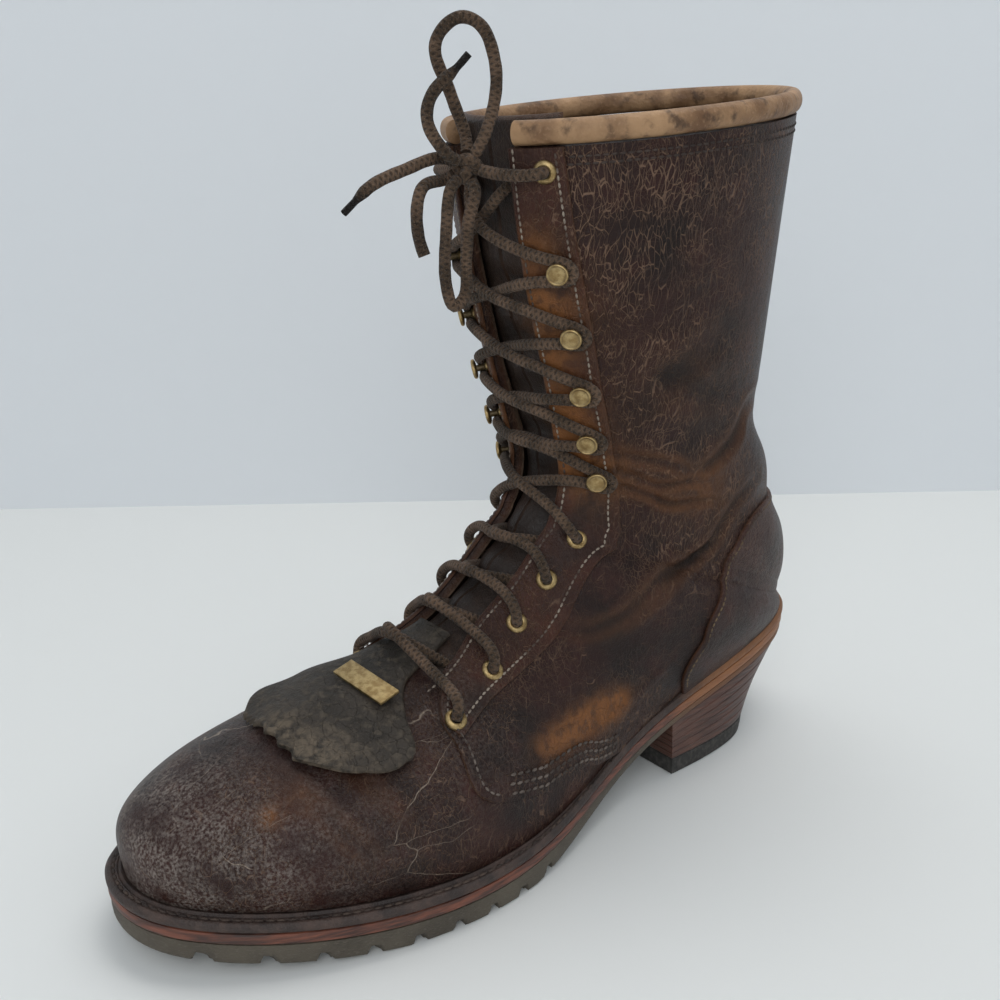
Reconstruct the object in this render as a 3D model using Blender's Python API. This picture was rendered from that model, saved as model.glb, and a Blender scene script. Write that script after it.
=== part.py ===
"""Left logger boot: packer heel, ten-inch shaft, laced through eyelets and speed hooks.

Metres, +Z up. The toe points to -Y and the outer (lateral) side is at +X. The origin is on the
floor under the middle of the heel. "Along" is a share of the sole's length from the heel's back,
"s" runs 0 to 1 around the foot from toe tip to heel back and 1 to 2 up the shaft to the collar,
and "u" climbs a section from its foot (0) to the ridge of the instep and shin (1).
"""
import math

import bmesh
import bpy
import numpy as np
from mathutils import Matrix, Vector
from mathutils.bvhtree import BVHTree
from mathutils.kdtree import KDTree

# Driving sizes
LENGTH = 0.312
BALL_WIDTH = 0.112
SEAT_HEIGHT = 0.0585
SHAFT_HEIGHT = 0.273
ORIGIN_ALONG = 0.18

# Leather, rubber and the gap between pieces that touch
WALL = 0.0024
QUARTER_LAP = 0.0014
OVERLAY = 0.0015
TONGUE_THICK = 0.0026
WELT_THICK = 0.0036
MIDSOLE_THICK = 0.0046
INSOLE_RISE = 0.0015
FIT = 0.0003
FOOT_FIT = 0.0005
OVERLAY_FIT = 0.0004
SOFT_FIT = 0.0009

# Sole outline: along, lateral half, medial half, as shares of LENGTH and BALL_WIDTH.
# The outline runs from the heel's back up the lateral side, round the toe and back.
LATERAL_OUTLINE = ((0.0, 0.0), (0.03, 0.25), (0.115, 0.335), (0.24, 0.330), (0.40, 0.385), (0.55, 0.50),
                   (0.67, 0.53), (0.80, 0.452), (0.935, 0.25), (0.985, 0.09), (1.0, -0.07))
MEDIAL_OUTLINE = ((0.0, 0.0), (0.03, -0.24), (0.115, -0.32), (0.26, -0.285), (0.43, -0.275), (0.60, -0.40),
                  (0.72, -0.475), (0.84, -0.465), (0.935, -0.37), (0.985, -0.24), (1.0, -0.07))
# along, height of the welt's top, height of the tread, as shares of SEAT_HEIGHT
SOLE_HEIGHTS = ((0.0, 1.0, 0.80), (0.12, 0.846, 0.645), (0.24, 0.667, 0.465), (0.36, 0.53, 0.32),
                (0.48, 0.393, 0.14), (0.55, 0.33, 0.03), (0.60, 0.308, -0.02), (0.70, 0.30, -0.02),
                (0.80, 0.316, 0.02), (0.92, 0.376, 0.09), (1.0, 0.419, 0.14))
# along, distance from the sole's edge in to the upper, as shares of WELT_SHOW
WELT_SHOW = 0.0062
WELT_INSETS = ((0.0, 0.68), (0.12, 0.71), (0.25, 0.56), (0.45, 0.32), (0.60, 0.73), (0.75, 1.0), (1.0, 1.0))

# Upper: s, along and height of the ridge, as shares of LENGTH and SHAFT_HEIGHT
RIDGE = ((0.00, 0.982, 0.1245), (0.06, 0.9776, 0.150), (0.13, 0.9487, 0.1813), (0.22, 0.8878, 0.216),
         (0.32, 0.8077, 0.2436), (0.44, 0.7115, 0.269), (0.56, 0.6218, 0.2985), (0.68, 0.5545, 0.339),
         (0.80, 0.5032, 0.385), (0.90, 0.4712, 0.421), (1.00, 0.4471, 0.4615), (1.10, 0.4343, 0.498),
         (1.22, 0.4311, 0.5385), (1.36, 0.4391, 0.590), (1.52, 0.4535, 0.663), (1.70, 0.4728, 0.758),
         (1.86, 0.492, 0.872), (2.00, 0.5064, 0.987))
# Upper: s, along and height of the back line, with the worn fold above the counter
BACK = ((1.00, 0.0135, 0.2143), (1.09, 0.006, 0.262), (1.19, 0.020, 0.331), (1.28, 0.047, 0.381),
        (1.36, 0.053, 0.430), (1.43, 0.068, 0.476), (1.50, 0.093, 0.523), (1.58, 0.092, 0.578),
        (1.70, 0.083, 0.665), (1.85, 0.069, 0.84), (2.00, 0.053, 1.05))
# Upper: s, swell of the section as a share of BALL_WIDTH, height of its widest point as a share
# of the section, and the exponents of its upper and lower curves
SECTIONS = ((0.00, 0.0, 0.30, 2.1, 2.0), (0.10, 0.071, 0.30, 2.1, 2.0), (0.25, 0.098, 0.28, 2.1, 2.0),
            (0.45, 0.125, 0.26, 2.1, 2.0), (0.60, 0.152, 0.24, 2.05, 2.0), (0.75, 0.196, 0.26, 2.0, 2.0),
            (0.90, 0.268, 0.34, 2.0, 2.1), (1.00, 0.317, 0.42, 2.0, 2.3), (1.15, 0.344, 0.45, 2.0, 2.3),
            (1.35, 0.371, 0.47, 2.1, 2.2), (1.60, 0.406, 0.48, 2.15, 2.1), (1.80, 0.455, 0.48, 2.15, 2.0),
            (2.00, 0.509, 0.48, 2.15, 2.0))
LOWER_SHARE = 0.42

# Throat and quarter: u of the facing's foot and s of the throat, then the quarter's front edge
THROAT_U = 0.847
QUARTER_EDGE = ((0.0, 0.600), (0.20, 0.560), (0.404, 0.510), (0.46, 0.466), (0.504, 0.438), (0.536, 0.432),
                (0.586, 0.438), (0.637, 0.453), (0.702, 0.470), (0.78, 0.492), (0.847, 0.545), (1.0, 0.545))
# s, half gap between the facings and reach of the eyestay, as shares of BALL_WIDTH
FACING = ((0.45, 0.24, 0.42), (0.545, 0.205, 0.34), (0.65, 0.14, 0.29), (0.77, 0.125, 0.265), (0.91, 0.115, 0.25),
          (1.11, 0.112, 0.24), (1.29, 0.115, 0.255), (1.45, 0.125, 0.27), (1.77, 0.128, 0.285), (2.0, 0.14, 0.285))
# s and u of the counter's seam
COUNTER_EDGE = ((0.721, 0.0), (0.745, 0.25), (0.80, 0.40), (0.90, 0.455), (1.06, 0.421), (1.16, 0.39),
                (1.256, 0.30), (1.31, 0.15), (1.33, 0.0))
# Tongue: s, half width as a share of BALL_WIDTH, extra depth as a share of BINDING_HALF
TONGUE = ((0.5, 0.28, 0.0), (0.8, 0.24, 0.1), (1.1, 0.24, 0.25), (1.5, 0.24, 0.15), (1.8, 0.27, 0.2),
          (1.92, 0.28, 0.55), (2.0, 0.28, 0.7))
TONGUE_TOP = 1.995
EYESTAY_FOOT = 0.478
BACK_STAY_HALF = 0.0042
# Columns of the wall's grid, as shares of the vamp and of the quarter, and its rows up to the facing
FORE_SHARES = (0, 0.05, 0.10, 0.16, 0.24, 0.34, 0.46, 0.58, 0.70, 0.82, 0.92, 1.0)
AFT_SHARES = (0.009, 0.06, 0.12, 0.17, 0.215, 0.255, 0.295, 0.35, 0.40, 0.45, 0.50, 0.545, 0.58, 0.615, 0.65,
              0.69, 0.74, 0.80, 0.87, 0.94, 1.0)
FACING_ROW = 8
COLLAR_S = 1.955
COLLAR_TOP = 1.985
BINDING_HALF = 0.0024
BINDING_RISE = 0.0042

# Heel: breast as a share of LENGTH, and its base as shares of LENGTH and BALL_WIDTH
HEEL_BREAST = 0.281
LIFT_THICK = 0.0075
HEEL_BASE = ((0.080, 0.0), (0.086, 0.13), (0.115, 0.235), (0.170, 0.290), (0.281, 0.305))
HEEL_BASE_SHIFT = 0.02
HEEL_INSET = 0.0014
# How far the outline has drawn in at the stack's middle and at the lift, and the middle's height share
HEEL_WAIST_SHARE = 0.62
HEEL_WAIST = 0.48
LIFT_SHARE = 0.93

# Tread lugs of the forefoot
LUG_PITCH = 0.0145
LUG_GAP = 0.0042
LUG_DEPTH = 0.0032
LUG_RIB_HALF = 0.007

# Lacing
LACE = 0.0042
EYELET_RADIUS = 0.0040
EYELET_RIM = 0.0008
EYELET_S = (0.492, 0.594, 0.700, 0.818, 0.945)
TOP_EYELET_S = 1.922
HOOK_S = (1.20, 1.35, 1.50, 1.65, 1.775)
HOOK_PLATE = (0.0032, 0.0008)
HOOK_WIRE = 0.0011
HOOK_RISE = 0.0040
HOOK_REACH = 0.0046
# s and half distance of the eyelet row from the ridge as a share of BALL_WIDTH
ROW = ((0.45, 0.37), (0.492, 0.348), (0.594, 0.27), (0.70, 0.205), (0.82, 0.193), (0.95, 0.184), (1.20, 0.205),
       (1.35, 0.214), (1.50, 0.232), (1.65, 0.24), (2.0, 0.232))
LACE_OVER_STAY = 0.0006
CROSSING_STEP = 0.0009

# Kiltie: s, half width as a share of BALL_WIDTH, height over the skin as a share of KILTIE_THICK
KILTIE_THICK = 0.0018
KILTIE = ((0.318, 0.20, 1.4), (0.340, 0.29, 1.4), (0.375, 0.335, 1.5), (0.42, 0.325, 1.6), (0.455, 0.24, 1.3),
          (0.49, 0.175, 0.7), (0.545, 0.135, 0.4), (0.58, 0.115, -0.3), (0.62, 0.10, -0.7))
KEEPER_SIZE = (0.028, 0.0085, 0.0012)
KEEPER_S = 0.462
KEEPER_ACROSS = 0.008

# The bow: its knot and the routes of its loops and ends, chosen by hand from the photo. A loop
# starts and ends at the knot, whose face the cords meet squarely.
KNOT = (0.0050, -0.1085, 0.2530)
KNOT_RADIUS = 0.0054
LOOP_UP = ((0.0096, -0.1062, 0.2606), (0.0105, -0.1020, 0.2700), (0.0110, -0.1000, 0.2820),
           (0.0100, -0.1010, 0.2910), (0.0080, -0.1040, 0.2980), (0.0040, -0.1090, 0.3005),
           (0.0010, -0.1130, 0.2980), (-0.0010, -0.1160, 0.2920), (-0.0010, -0.1150, 0.2860),
           (0.0000, -0.1125, 0.2800), (0.0008, -0.1100, 0.2730), (0.0018, -0.1062, 0.2613))
LOOP_DOWN = ((0.0050, -0.1154, 0.2469), (0.0053, -0.1175, 0.2410), (0.0060, -0.1190, 0.2320),
             (0.0060, -0.1200, 0.2220), (0.0065, -0.1195, 0.2120), (0.0070, -0.1170, 0.2070),
             (0.0075, -0.1140, 0.2090), (0.0080, -0.1125, 0.2190), (0.0085, -0.1120, 0.2290),
             (0.0094, -0.1113, 0.2380), (0.0101, -0.1094, 0.2454))
BIGHT = ((-0.0019, -0.1131, 0.2490), (-0.0027, -0.1168, 0.2485), (-0.0018, -0.1225, 0.2470),
         (-0.0007, -0.1258, 0.2415), (-0.0005, -0.1263, 0.2340), (0.0000, -0.1255, 0.2280), (0.0010, -0.1248, 0.2245))
END_UP = ((0.0059, -0.1165, 0.2571), (0.0046, -0.1203, 0.2615), (0.0028, -0.1228, 0.2680), (0.0032, -0.1225, 0.2740),
          (0.0050, -0.1200, 0.2790), (0.0080, -0.1165, 0.2830), (0.0120, -0.1120, 0.2890))
END_SIDE = ((-0.0030, -0.1120, 0.2560), (-0.0062, -0.1165, 0.2555), (-0.0085, -0.1235, 0.2530),
            (-0.0103, -0.1310, 0.2505), (-0.0120, -0.1380, 0.2470), (-0.0140, -0.1420, 0.2430), (-0.0170, -0.1450, 0.2390))

collection = None


def smooth(at, rows):
    """Natural cubic spline through the rows (knot, value, ...), read at the knots given."""
    rows = np.asarray(rows, float)
    knots, values = rows[:, 0], rows[:, 1:]
    step = np.diff(knots)
    count = len(knots)
    matrix, right = np.zeros((count, count)), np.zeros((count, values.shape[1]))
    matrix[0, 0] = matrix[-1, -1] = 1
    for i in range(1, count - 1):
        matrix[i, i - 1:i + 2] = step[i - 1], 2 * (step[i - 1] + step[i]), step[i]
        right[i] = 6 * ((values[i + 1] - values[i]) / step[i] - (values[i] - values[i - 1]) / step[i - 1])
    bend = np.linalg.solve(matrix, right)
    at = np.asarray(at, float)
    k = np.clip(np.searchsorted(knots, at) - 1, 0, count - 2)
    before, after, width = (knots[k + 1] - at)[..., None], (at - knots[k])[..., None], step[k][..., None]
    return ((bend[k] * before**3 + bend[k + 1] * after**3) / (6 * width)
            + (values[k] / width - bend[k] * width / 6) * before
            + (values[k + 1] / width - bend[k + 1] * width / 6) * after)


def mirrored_rows(rows, parity):
    """The rows continued below their first knot, even (+1) or odd (-1) about it."""
    rows = np.asarray(rows, float)
    flip = parity * rows[:0:-1]
    flip[:, 0] = -rows[:0:-1, 0]
    return np.vstack([flip, rows])


def station(along):
    return LENGTH * (ORIGIN_ALONG - np.asarray(along, float))


def along_of(y):
    return np.clip(ORIGIN_ALONG - np.asarray(y, float) / LENGTH, 0, 1)


def seat(y):
    """Height of the welt's top."""
    return SEAT_HEIGHT * smooth(along_of(y), SOLE_HEIGHTS)[..., 0]


def tread(y):
    """Height of the outsole's underside, flat on the floor under the ball."""
    return np.maximum(SEAT_HEIGHT * smooth(along_of(y), SOLE_HEIGHTS)[..., 1], 0)


def sole_loop(count=360):
    """The sole's closed outline in plan, a periodic spline through both halves."""
    rows = list(LATERAL_OUTLINE) + list(MEDIAL_OUTLINE[-2:0:-1]) + [LATERAL_OUTLINE[0]]
    corners = np.asarray(rows) * [LENGTH, BALL_WIDTH]
    run = np.r_[0, np.cumsum(np.hypot(*np.diff(corners, axis=0).T))]
    wrap = 4
    knots = np.r_[run[-wrap - 1:-1] - run[-1], run, run[1:wrap + 1] + run[-1]]
    points = np.vstack([corners[-wrap - 1:-1], corners, corners[1:wrap + 1]])
    curve = smooth(np.linspace(0, run[-1], count + 1)[:-1], np.c_[knots, points])
    return np.c_[curve[:, 1], station(0) - curve[:, 0]]


def pushed_in(loop, distance):
    """The loop moved inwards in its own plane by the distance, one value or one per point."""
    run = np.roll(loop, -1, 0) - np.roll(loop, 1, 0)
    run /= np.linalg.norm(run, axis=1)[:, None]
    inward = np.c_[run[:, 1], -run[:, 0]]
    return loop + inward * np.broadcast_to(distance, len(loop))[:, None]


def split(loop, count):
    """Lateral and medial halves of a loop from toe tip to heel back, evenly spaced by arc."""
    toe, heel = int(np.argmin(loop[:, 1])), int(np.argmax(loop[:, 1]))
    turned = np.roll(loop, -toe, 0)
    reach = (heel - toe) % len(loop)
    sides = [turned[:reach + 1], np.vstack([turned[:1], turned[:reach - 1:-1]])]
    sides.sort(key=lambda half: -half[:, 0].mean())
    even = []
    for half in sides:
        run = np.r_[0, np.cumsum(np.hypot(*np.diff(half, axis=0).T))]
        at = np.linspace(0, run[-1], count)
        even.append(np.c_[np.interp(at, run, half[:, 0]), np.interp(at, run, half[:, 1])])
    return even


SOLE = sole_loop()
UPPER_INSET = WELT_SHOW * np.interp(along_of(SOLE[:, 1]), *np.transpose(WELT_INSETS))
FEATHER = dict(zip((1, -1), split(pushed_in(SOLE, UPPER_INSET), 240)))


def skin(s, u, side):
    """The upper's outer surface on one side (+1 lateral, -1 medial).

    A section joins a foot point (feather edge, then back line) to a ridge point. Its half
    width grows from the foot to the widest point and closes at the ridge, each part a
    superellipse read by its angle, so the section stays round at both ends.
    """
    s, u = np.broadcast_arrays(np.asarray(s, float), np.asarray(u, float))
    edge = FEATHER[side]
    foot_share = np.clip(s, 0, 1)
    shares = np.linspace(0, 1, len(edge))
    edge_x, edge_y = np.interp(foot_share, shares, edge[:, 0]), np.interp(foot_share, shares, edge[:, 1])
    back = smooth(np.clip(s, 1, 2), BACK) * [LENGTH, SHAFT_HEIGHT]
    on_shaft = s > 1
    foot_y = np.where(on_shaft, station(0) - back[..., 0], edge_y)
    foot_z = np.where(on_shaft, back[..., 1], seat(edge_y))
    centre = edge[0, 0] + (edge[-1, 0] - edge[0, 0]) * foot_share
    half = np.where(on_shaft, 0, np.abs(edge_x - centre))
    ridge = smooth(s, mirrored_rows(RIDGE, 1)) * [LENGTH, SHAFT_HEIGHT]
    ridge_y, ridge_z = station(0) - ridge[..., 0], ridge[..., 1]
    swell = smooth(s, mirrored_rows(np.asarray(SECTIONS)[:, :2], -1))[..., 0] * BALL_WIDTH
    shape = smooth(s, np.asarray(SECTIONS)[:, (0, 2, 3, 4)])
    widest, top_power, low_power = shape[..., 0], shape[..., 1], shape[..., 2]
    width = np.hypot(half, swell) + 1e-9
    close = np.arccos(np.clip((half / width)**(low_power / 2), 0, 1)) + 1e-9
    low = u < LOWER_SHARE
    share = np.where(low, (LOWER_SHARE - u) / LOWER_SHARE, (u - LOWER_SHARE) / (1 - LOWER_SHARE))
    low_angle, top_angle = share * close, share * math.pi / 2
    low_rise = widest * (1 - (np.sin(low_angle) / np.sin(close))**(2 / low_power))
    low_out = width * np.abs(np.cos(low_angle))**(2 / low_power)
    top_rise = widest + (1 - widest) * np.sin(top_angle)**(2 / top_power)
    top_out = width * np.abs(np.cos(top_angle))**(2 / top_power)
    rise, out = np.where(low, low_rise, top_rise), np.where(low, low_out, top_out)
    return np.stack([centre + side * out, foot_y + rise * (ridge_y - foot_y),
                     foot_z + rise * (ridge_z - foot_z)], -1)


def facing_direction(s, u, side):
    """Unit vector out of the skin, kept in the middle plane along the ridge and the back line."""
    s, u = np.broadcast_arrays(np.asarray(s, float), np.asarray(u, float))
    small = 2e-3
    along_s = skin(np.minimum(s + small, 2), u, side) - skin(np.maximum(s - small, 0), u, side)
    along_u = skin(s, np.minimum(u + small, 1), side) - skin(s, np.maximum(u - small, 0), side)
    out = np.cross(along_s, along_u) * side
    middle = (u > 1 - 1e-6) | ((u < 1e-6) & (s >= 1)) | (s < 1e-6)
    out[..., 0] = np.where(middle, 0, out[..., 0])
    out /= np.linalg.norm(out, axis=-1)[..., None] + 1e-12
    toe = s < 1e-6
    if side < 0 and toe.any():
        out[toe] = facing_direction(s[toe], u[toe], 1)
    return out


def lifted(s, u, side, distance):
    """The skin moved out along its own direction; a foot edge moves level and stays on the welt."""
    s, u = np.broadcast_arrays(np.asarray(s, float), np.asarray(u, float))
    out = facing_direction(s, u, side)
    foot = (u < 1e-6) & (s <= 1 + 1e-6)
    out[..., 2] = np.where(foot, 0, out[..., 2])
    out /= np.linalg.norm(out, axis=-1)[..., None]
    points = skin(s, u, side) + out * np.broadcast_to(distance, s.shape)[..., None]
    points[..., 2] = np.where(foot, seat(points[..., 1]) + FOOT_FIT, points[..., 2])
    return points


def u_across(s, across):
    """u on the section's upper curve at a distance across from the ridge."""
    s, across = np.broadcast_arrays(np.asarray(s, float), np.asarray(across, float))
    low = u = np.full(s.shape, LOWER_SHARE)
    high = np.ones(s.shape)
    for _ in range(30):
        u = (low + high) / 2
        wide = np.abs(skin(s, u, 1)[..., 0] - skin(s, np.ones(s.shape), 1)[..., 0]) > across
        low, high = np.where(wide, u, low), np.where(wide, high, u)
    return u


def facing_gap(s):
    return BALL_WIDTH * smooth(s, FACING)[..., 0]


def stay_reach(s):
    return BALL_WIDTH * smooth(s, FACING)[..., 1]


def row_reach(s):
    return BALL_WIDTH * smooth(s, ROW)[..., 0]


def material(name, colour, roughness, metallic=0.0):
    made = bpy.data.materials.get(name) or bpy.data.materials.new(name)
    made.use_nodes = True
    shader = made.node_tree.nodes["Principled BSDF"]
    shader.inputs["Base Color"].default_value = (*colour, 1)
    shader.inputs["Roughness"].default_value = roughness
    shader.inputs["Metallic"].default_value = metallic
    return made


def finished(obj, look, angle=35):
    """Link an object to the boot's collection, with its material and smooth shading."""
    collection.objects.link(obj)
    if obj.type == "MESH":
        obj.data.shade_smooth()
        obj.data.set_sharp_from_angle(angle=math.radians(angle))
    obj.data.materials.clear()
    obj.data.materials.append(look)
    return obj


def closed(name, points, faces, look, angle=35):
    """A mesh object from points and faces, welded, with its faces turned outwards."""
    mesh = bpy.data.meshes.new(name)
    mesh.from_pydata([tuple(p) for p in points], [], [tuple(map(int, f)) for f in faces])
    work = bmesh.new()
    work.from_mesh(mesh)
    bmesh.ops.remove_doubles(work, verts=work.verts, dist=1e-6)
    bmesh.ops.dissolve_degenerate(work, edges=work.edges, dist=1e-6)
    bmesh.ops.recalc_face_normals(work, faces=work.faces)
    work.to_mesh(mesh)
    work.free()
    return finished(bpy.data.objects.new(name, mesh), look, angle)


def grid_faces(columns, rows, start=0, keep=None, from_toe=False):
    """Triangles of a grid of columns along the boot by rows up it, split alike in every sheet.

    A column from the toe lies in the middle plane there, so it is split the other way.
    """
    i, j = np.meshgrid(np.arange(columns - 1), np.arange(rows - 1), indexing="ij")
    if keep is not None:
        i, j = i[keep], j[keep]
    first = start + i.ravel() * rows + j.ravel()
    above, beside, across = first + 1, first + rows, first + rows + 1
    at_toe = (i.ravel() == 0) & from_toe
    lower = np.stack([first, np.where(at_toe, above, across), beside], 1)
    upper_half = np.stack([np.where(at_toe, above, first), np.where(at_toe, across, above),
                           np.where(at_toe, beside, across)], 1)
    return np.vstack([lower, upper_half])


def shell(name, outer, inner, faces, look):
    """A wall between two sheets of points that share their faces, closed around every free rim."""
    tree = KDTree(len(outer))
    for i, point in enumerate(outer):
        tree.insert(point, i)
    tree.balance()
    same = np.array([min(found[1] for found in tree.find_range(point, 1e-5)) for point in outer])
    faces = same[faces]
    faces = faces[[len(set(face)) > 2 for face in faces.tolist()]]
    edges = {}
    for face in faces.tolist():
        ring = [v for k, v in enumerate(face) if v != face[k - 1]]
        for a, b in zip(ring, ring[1:] + ring[:1]):
            edges[(a, b)] = 1
    count = len(outer)
    made = []
    for face in faces.tolist():
        ring = [v for k, v in enumerate(face) if v != face[k - 1]]
        made += [ring, [v + count for v in ring[::-1]]]
    for a, b in edges:
        if (b, a) not in edges:
            made.append([b, a, a + count, b + count])
    return closed(name, np.vstack([outer, inner]), made, look)


def loft(name, sections, look, angle=35, ends=True):
    """A closed body through rings of points, all with the same count, capped at both ends."""
    sections = np.asarray(sections)
    count, size = sections.shape[:2]
    faces = []
    for i in range(count - 1):
        for j in range(size):
            k = (j + 1) % size
            faces.append([i * size + j, i * size + k, (i + 1) * size + k, (i + 1) * size + j])
    if ends:
        faces += [list(range(size))[::-1], list(range((count - 1) * size, count * size))]
    else:
        faces += [[(count - 1) * size + j, (count - 1) * size + (j + 1) % size, (j + 1) % size, j]
                  for j in range(size)]
    return closed(name, sections.reshape(-1, 3), faces, look, angle)


def slab(name, lateral, medial, top, bottom, look):
    """A full plate between two half outlines, its top and bottom heights functions of y."""
    def ring(a, b):
        return [(*a, top(a[1])), (*b, top(b[1])), (*b, bottom(b[1])), (*a, bottom(a[1]))]
    return loft(name, [ring(a, b) for a, b in zip(lateral, medial)], look)


def boolean(obj, tool, operation):
    """An exact boolean left on the object as a modifier, its tool hidden."""
    tool.hide_render = True
    tool.display_type = "WIRE"
    modifier = obj.modifiers.new(operation.title(), "BOOLEAN")
    modifier.object = tool
    modifier.operation = operation
    modifier.solver = "EXACT"
    return obj


def joined(name, objects):
    """Several mesh objects that don't touch as one object, in the cutters' collection."""
    work = bmesh.new()
    for obj in objects:
        piece = obj.data.copy()
        piece.transform(obj.matrix_world)
        work.from_mesh(piece)
        bpy.data.meshes.remove(piece)
        bpy.data.objects.remove(obj)
    mesh = bpy.data.meshes.new(name)
    work.to_mesh(mesh)
    work.free()
    made = bpy.data.objects.new(name, mesh)
    bpy.data.collections["cutters"].objects.link(made)
    return made


def as_mesh(obj):
    """A curve or modified object turned into a plain mesh object, caps welded."""
    bpy.context.view_layer.update()
    evaluated = obj.evaluated_get(bpy.context.evaluated_depsgraph_get())
    mesh = bpy.data.meshes.new_from_object(evaluated)
    work = bmesh.new()
    work.from_mesh(mesh)
    bmesh.ops.remove_doubles(work, verts=work.verts, dist=1e-6)
    work.to_mesh(mesh)
    work.free()
    made = bpy.data.objects.new(obj.name, mesh)
    made.matrix_world = obj.matrix_world
    name = obj.name
    bpy.data.objects.remove(obj)
    made.name = name
    bpy.data.collections["cutters"].objects.link(made)
    return made


def tube(name, points, diameter, look=None, sides=2):
    """A round cord along points, as a poly curve with filled caps."""
    curve = bpy.data.curves.new(name, "CURVE")
    curve.dimensions = "3D"
    curve.bevel_depth = diameter / 2
    curve.bevel_resolution = sides
    curve.use_fill_caps = True
    line = curve.splines.new("POLY")
    line.points.add(len(points) - 1)
    line.points.foreach_set("co", np.c_[points, np.ones(len(points))].ravel())
    made = bpy.data.objects.new(name, curve)
    if look:
        return finished(made, look)
    bpy.context.scene.collection.objects.link(made)
    return made


def routed(points, spacing):
    """Evenly spaced points on a smooth curve through the route's own points."""
    points = np.asarray(points, float)
    run = np.r_[0, np.cumsum(np.linalg.norm(np.diff(points, axis=0), axis=1)**0.5)]
    fine = smooth(np.linspace(0, run[-1], 400), np.c_[run, points])
    way = np.r_[0, np.cumsum(np.linalg.norm(np.diff(fine, axis=0), axis=1))]
    at = np.linspace(0, way[-1], max(int(round(way[-1] / spacing)), 3) + 1)
    return np.stack([np.interp(at, way, fine[:, k]) for k in range(3)], 1)


def outsole(look):
    """Rubber sole from toe to heel back, thin at the waist, with lugs cut across the forefoot."""
    lateral, medial = split(pushed_in(SOLE, 0.0006), 40)
    made = slab("outsole", lateral, medial, lambda y: seat(y) - WELT_THICK - MIDSOLE_THICK - 2 * FIT, tread, look)
    cutters = []
    for along in np.arange(0.545, 0.955, LUG_PITCH / LENGTH):
        y = float(station(along))
        slope = math.atan2(float(tread(y + 0.004) - tread(y - 0.004)), 0.008)
        for side in (1, -1):
            bpy.ops.mesh.primitive_cube_add(size=1)
            box = bpy.context.object
            reach = BALL_WIDTH
            turn = Matrix.Rotation(side * math.radians(12), 4, "Z") @ Matrix.Rotation(slope, 4, "X")
            place = Matrix.Translation((side * (LUG_RIB_HALF + reach / 2), y, float(tread(y))))
            box.matrix_world = place @ turn @ Matrix.Diagonal((reach, LUG_GAP, 2 * LUG_DEPTH, 1))
            bpy.context.view_layer.update()
            cutters.append(box)
    return boolean(made, joined("cutter_outsole", cutters), "DIFFERENCE")


def midsole(look):
    lateral, medial = split(SOLE, 40)
    return slab("midsole", lateral, medial, lambda y: seat(y) - WELT_THICK - FIT,
                lambda y: seat(y) - WELT_THICK - MIDSOLE_THICK - FIT, look)


def foot_stations():
    """s of the wall's own foot row, which welt and insole follow so that their edges nest."""
    foot = upper_grid(1)[0][:, 0]
    return foot[foot <= 1]


def inner_feather(extra=0.0):
    """Plan halves of the upper's inner wall line, moved in by a little more."""
    s = foot_stations()
    return [lifted(s, np.zeros(len(s)), side, -WALL - extra)[:, :2] for side in (1, -1)]


def welt(look):
    """Stitched ring between midsole and upper, open where the insole sits."""
    inside_lateral, inside_medial = inner_feather()
    lateral, medial = split(pushed_in(SOLE, -0.0004), len(inside_lateral))
    outer = np.vstack([lateral, medial[-2:0:-1]])
    inner = np.vstack([inside_lateral, inside_medial[-2:0:-1]])
    def ring(a, b):
        return [(*a, seat(a[1])), (*b, seat(b[1])), (*b, seat(b[1]) - WELT_THICK), (*a, seat(a[1]) - WELT_THICK)]
    return loft("welt", [ring(a, b) for a, b in zip(outer, inner)], look, ends=False)


def insole(look):
    lateral, medial = inner_feather(SOFT_FIT)
    return slab("insole", lateral, medial, lambda y: seat(y) + INSOLE_RISE, lambda y: seat(y) - WELT_THICK, look)


def heel_outline(share, count=12):
    """U outline of the heel in plan, from the sole's own edge (share 0) in to its base (share 1)."""
    base = np.asarray(HEEL_BASE) * [LENGTH, BALL_WIDTH]
    run = np.r_[0, np.cumsum(np.hypot(*np.diff(base, axis=0).T))]
    from_breast = np.linspace(0, 1, count)
    low_along, low_across = smooth((1 - from_breast) * run[-1], np.c_[run, base]).T
    halves = []
    for side, half in zip((1, -1), split(pushed_in(SOLE, HEEL_INSET), 400)):
        part = half[half[:, 1] > station(HEEL_BREAST)]
        top = np.stack([np.interp(from_breast, np.linspace(0, 1, len(part)), part[:, k]) for k in (0, 1)], 1)
        low = np.stack([side * low_across + HEEL_BASE_SHIFT * BALL_WIDTH, station(0) - low_along], 1)
        halves.append(top + (low - top) * share)
    lateral, medial = halves
    return np.vstack([lateral, medial[-2::-1]])


def heel(leather, rubber):
    """Leather stack under the outsole's heel seat, and the rubber lift that meets the floor."""
    def ring(share, height):
        outline = heel_outline(share)
        return np.c_[outline, np.broadcast_to(height(outline[:, 1]), len(outline))]
    under_sole = ring(0, lambda y: tread(y) - FIT)
    waist = ring(HEEL_WAIST_SHARE, lambda y: LIFT_THICK + HEEL_WAIST * (tread(y) - LIFT_THICK))
    lift_top = ring(LIFT_SHARE, lambda y: LIFT_THICK)
    stack_foot = lift_top + [0, 0, FIT]
    loft("heel_stack", [under_sole, waist, stack_foot], leather)
    loft("heel_top_lift", [lift_top, ring(1, lambda y: 0.0)], rubber)


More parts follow.
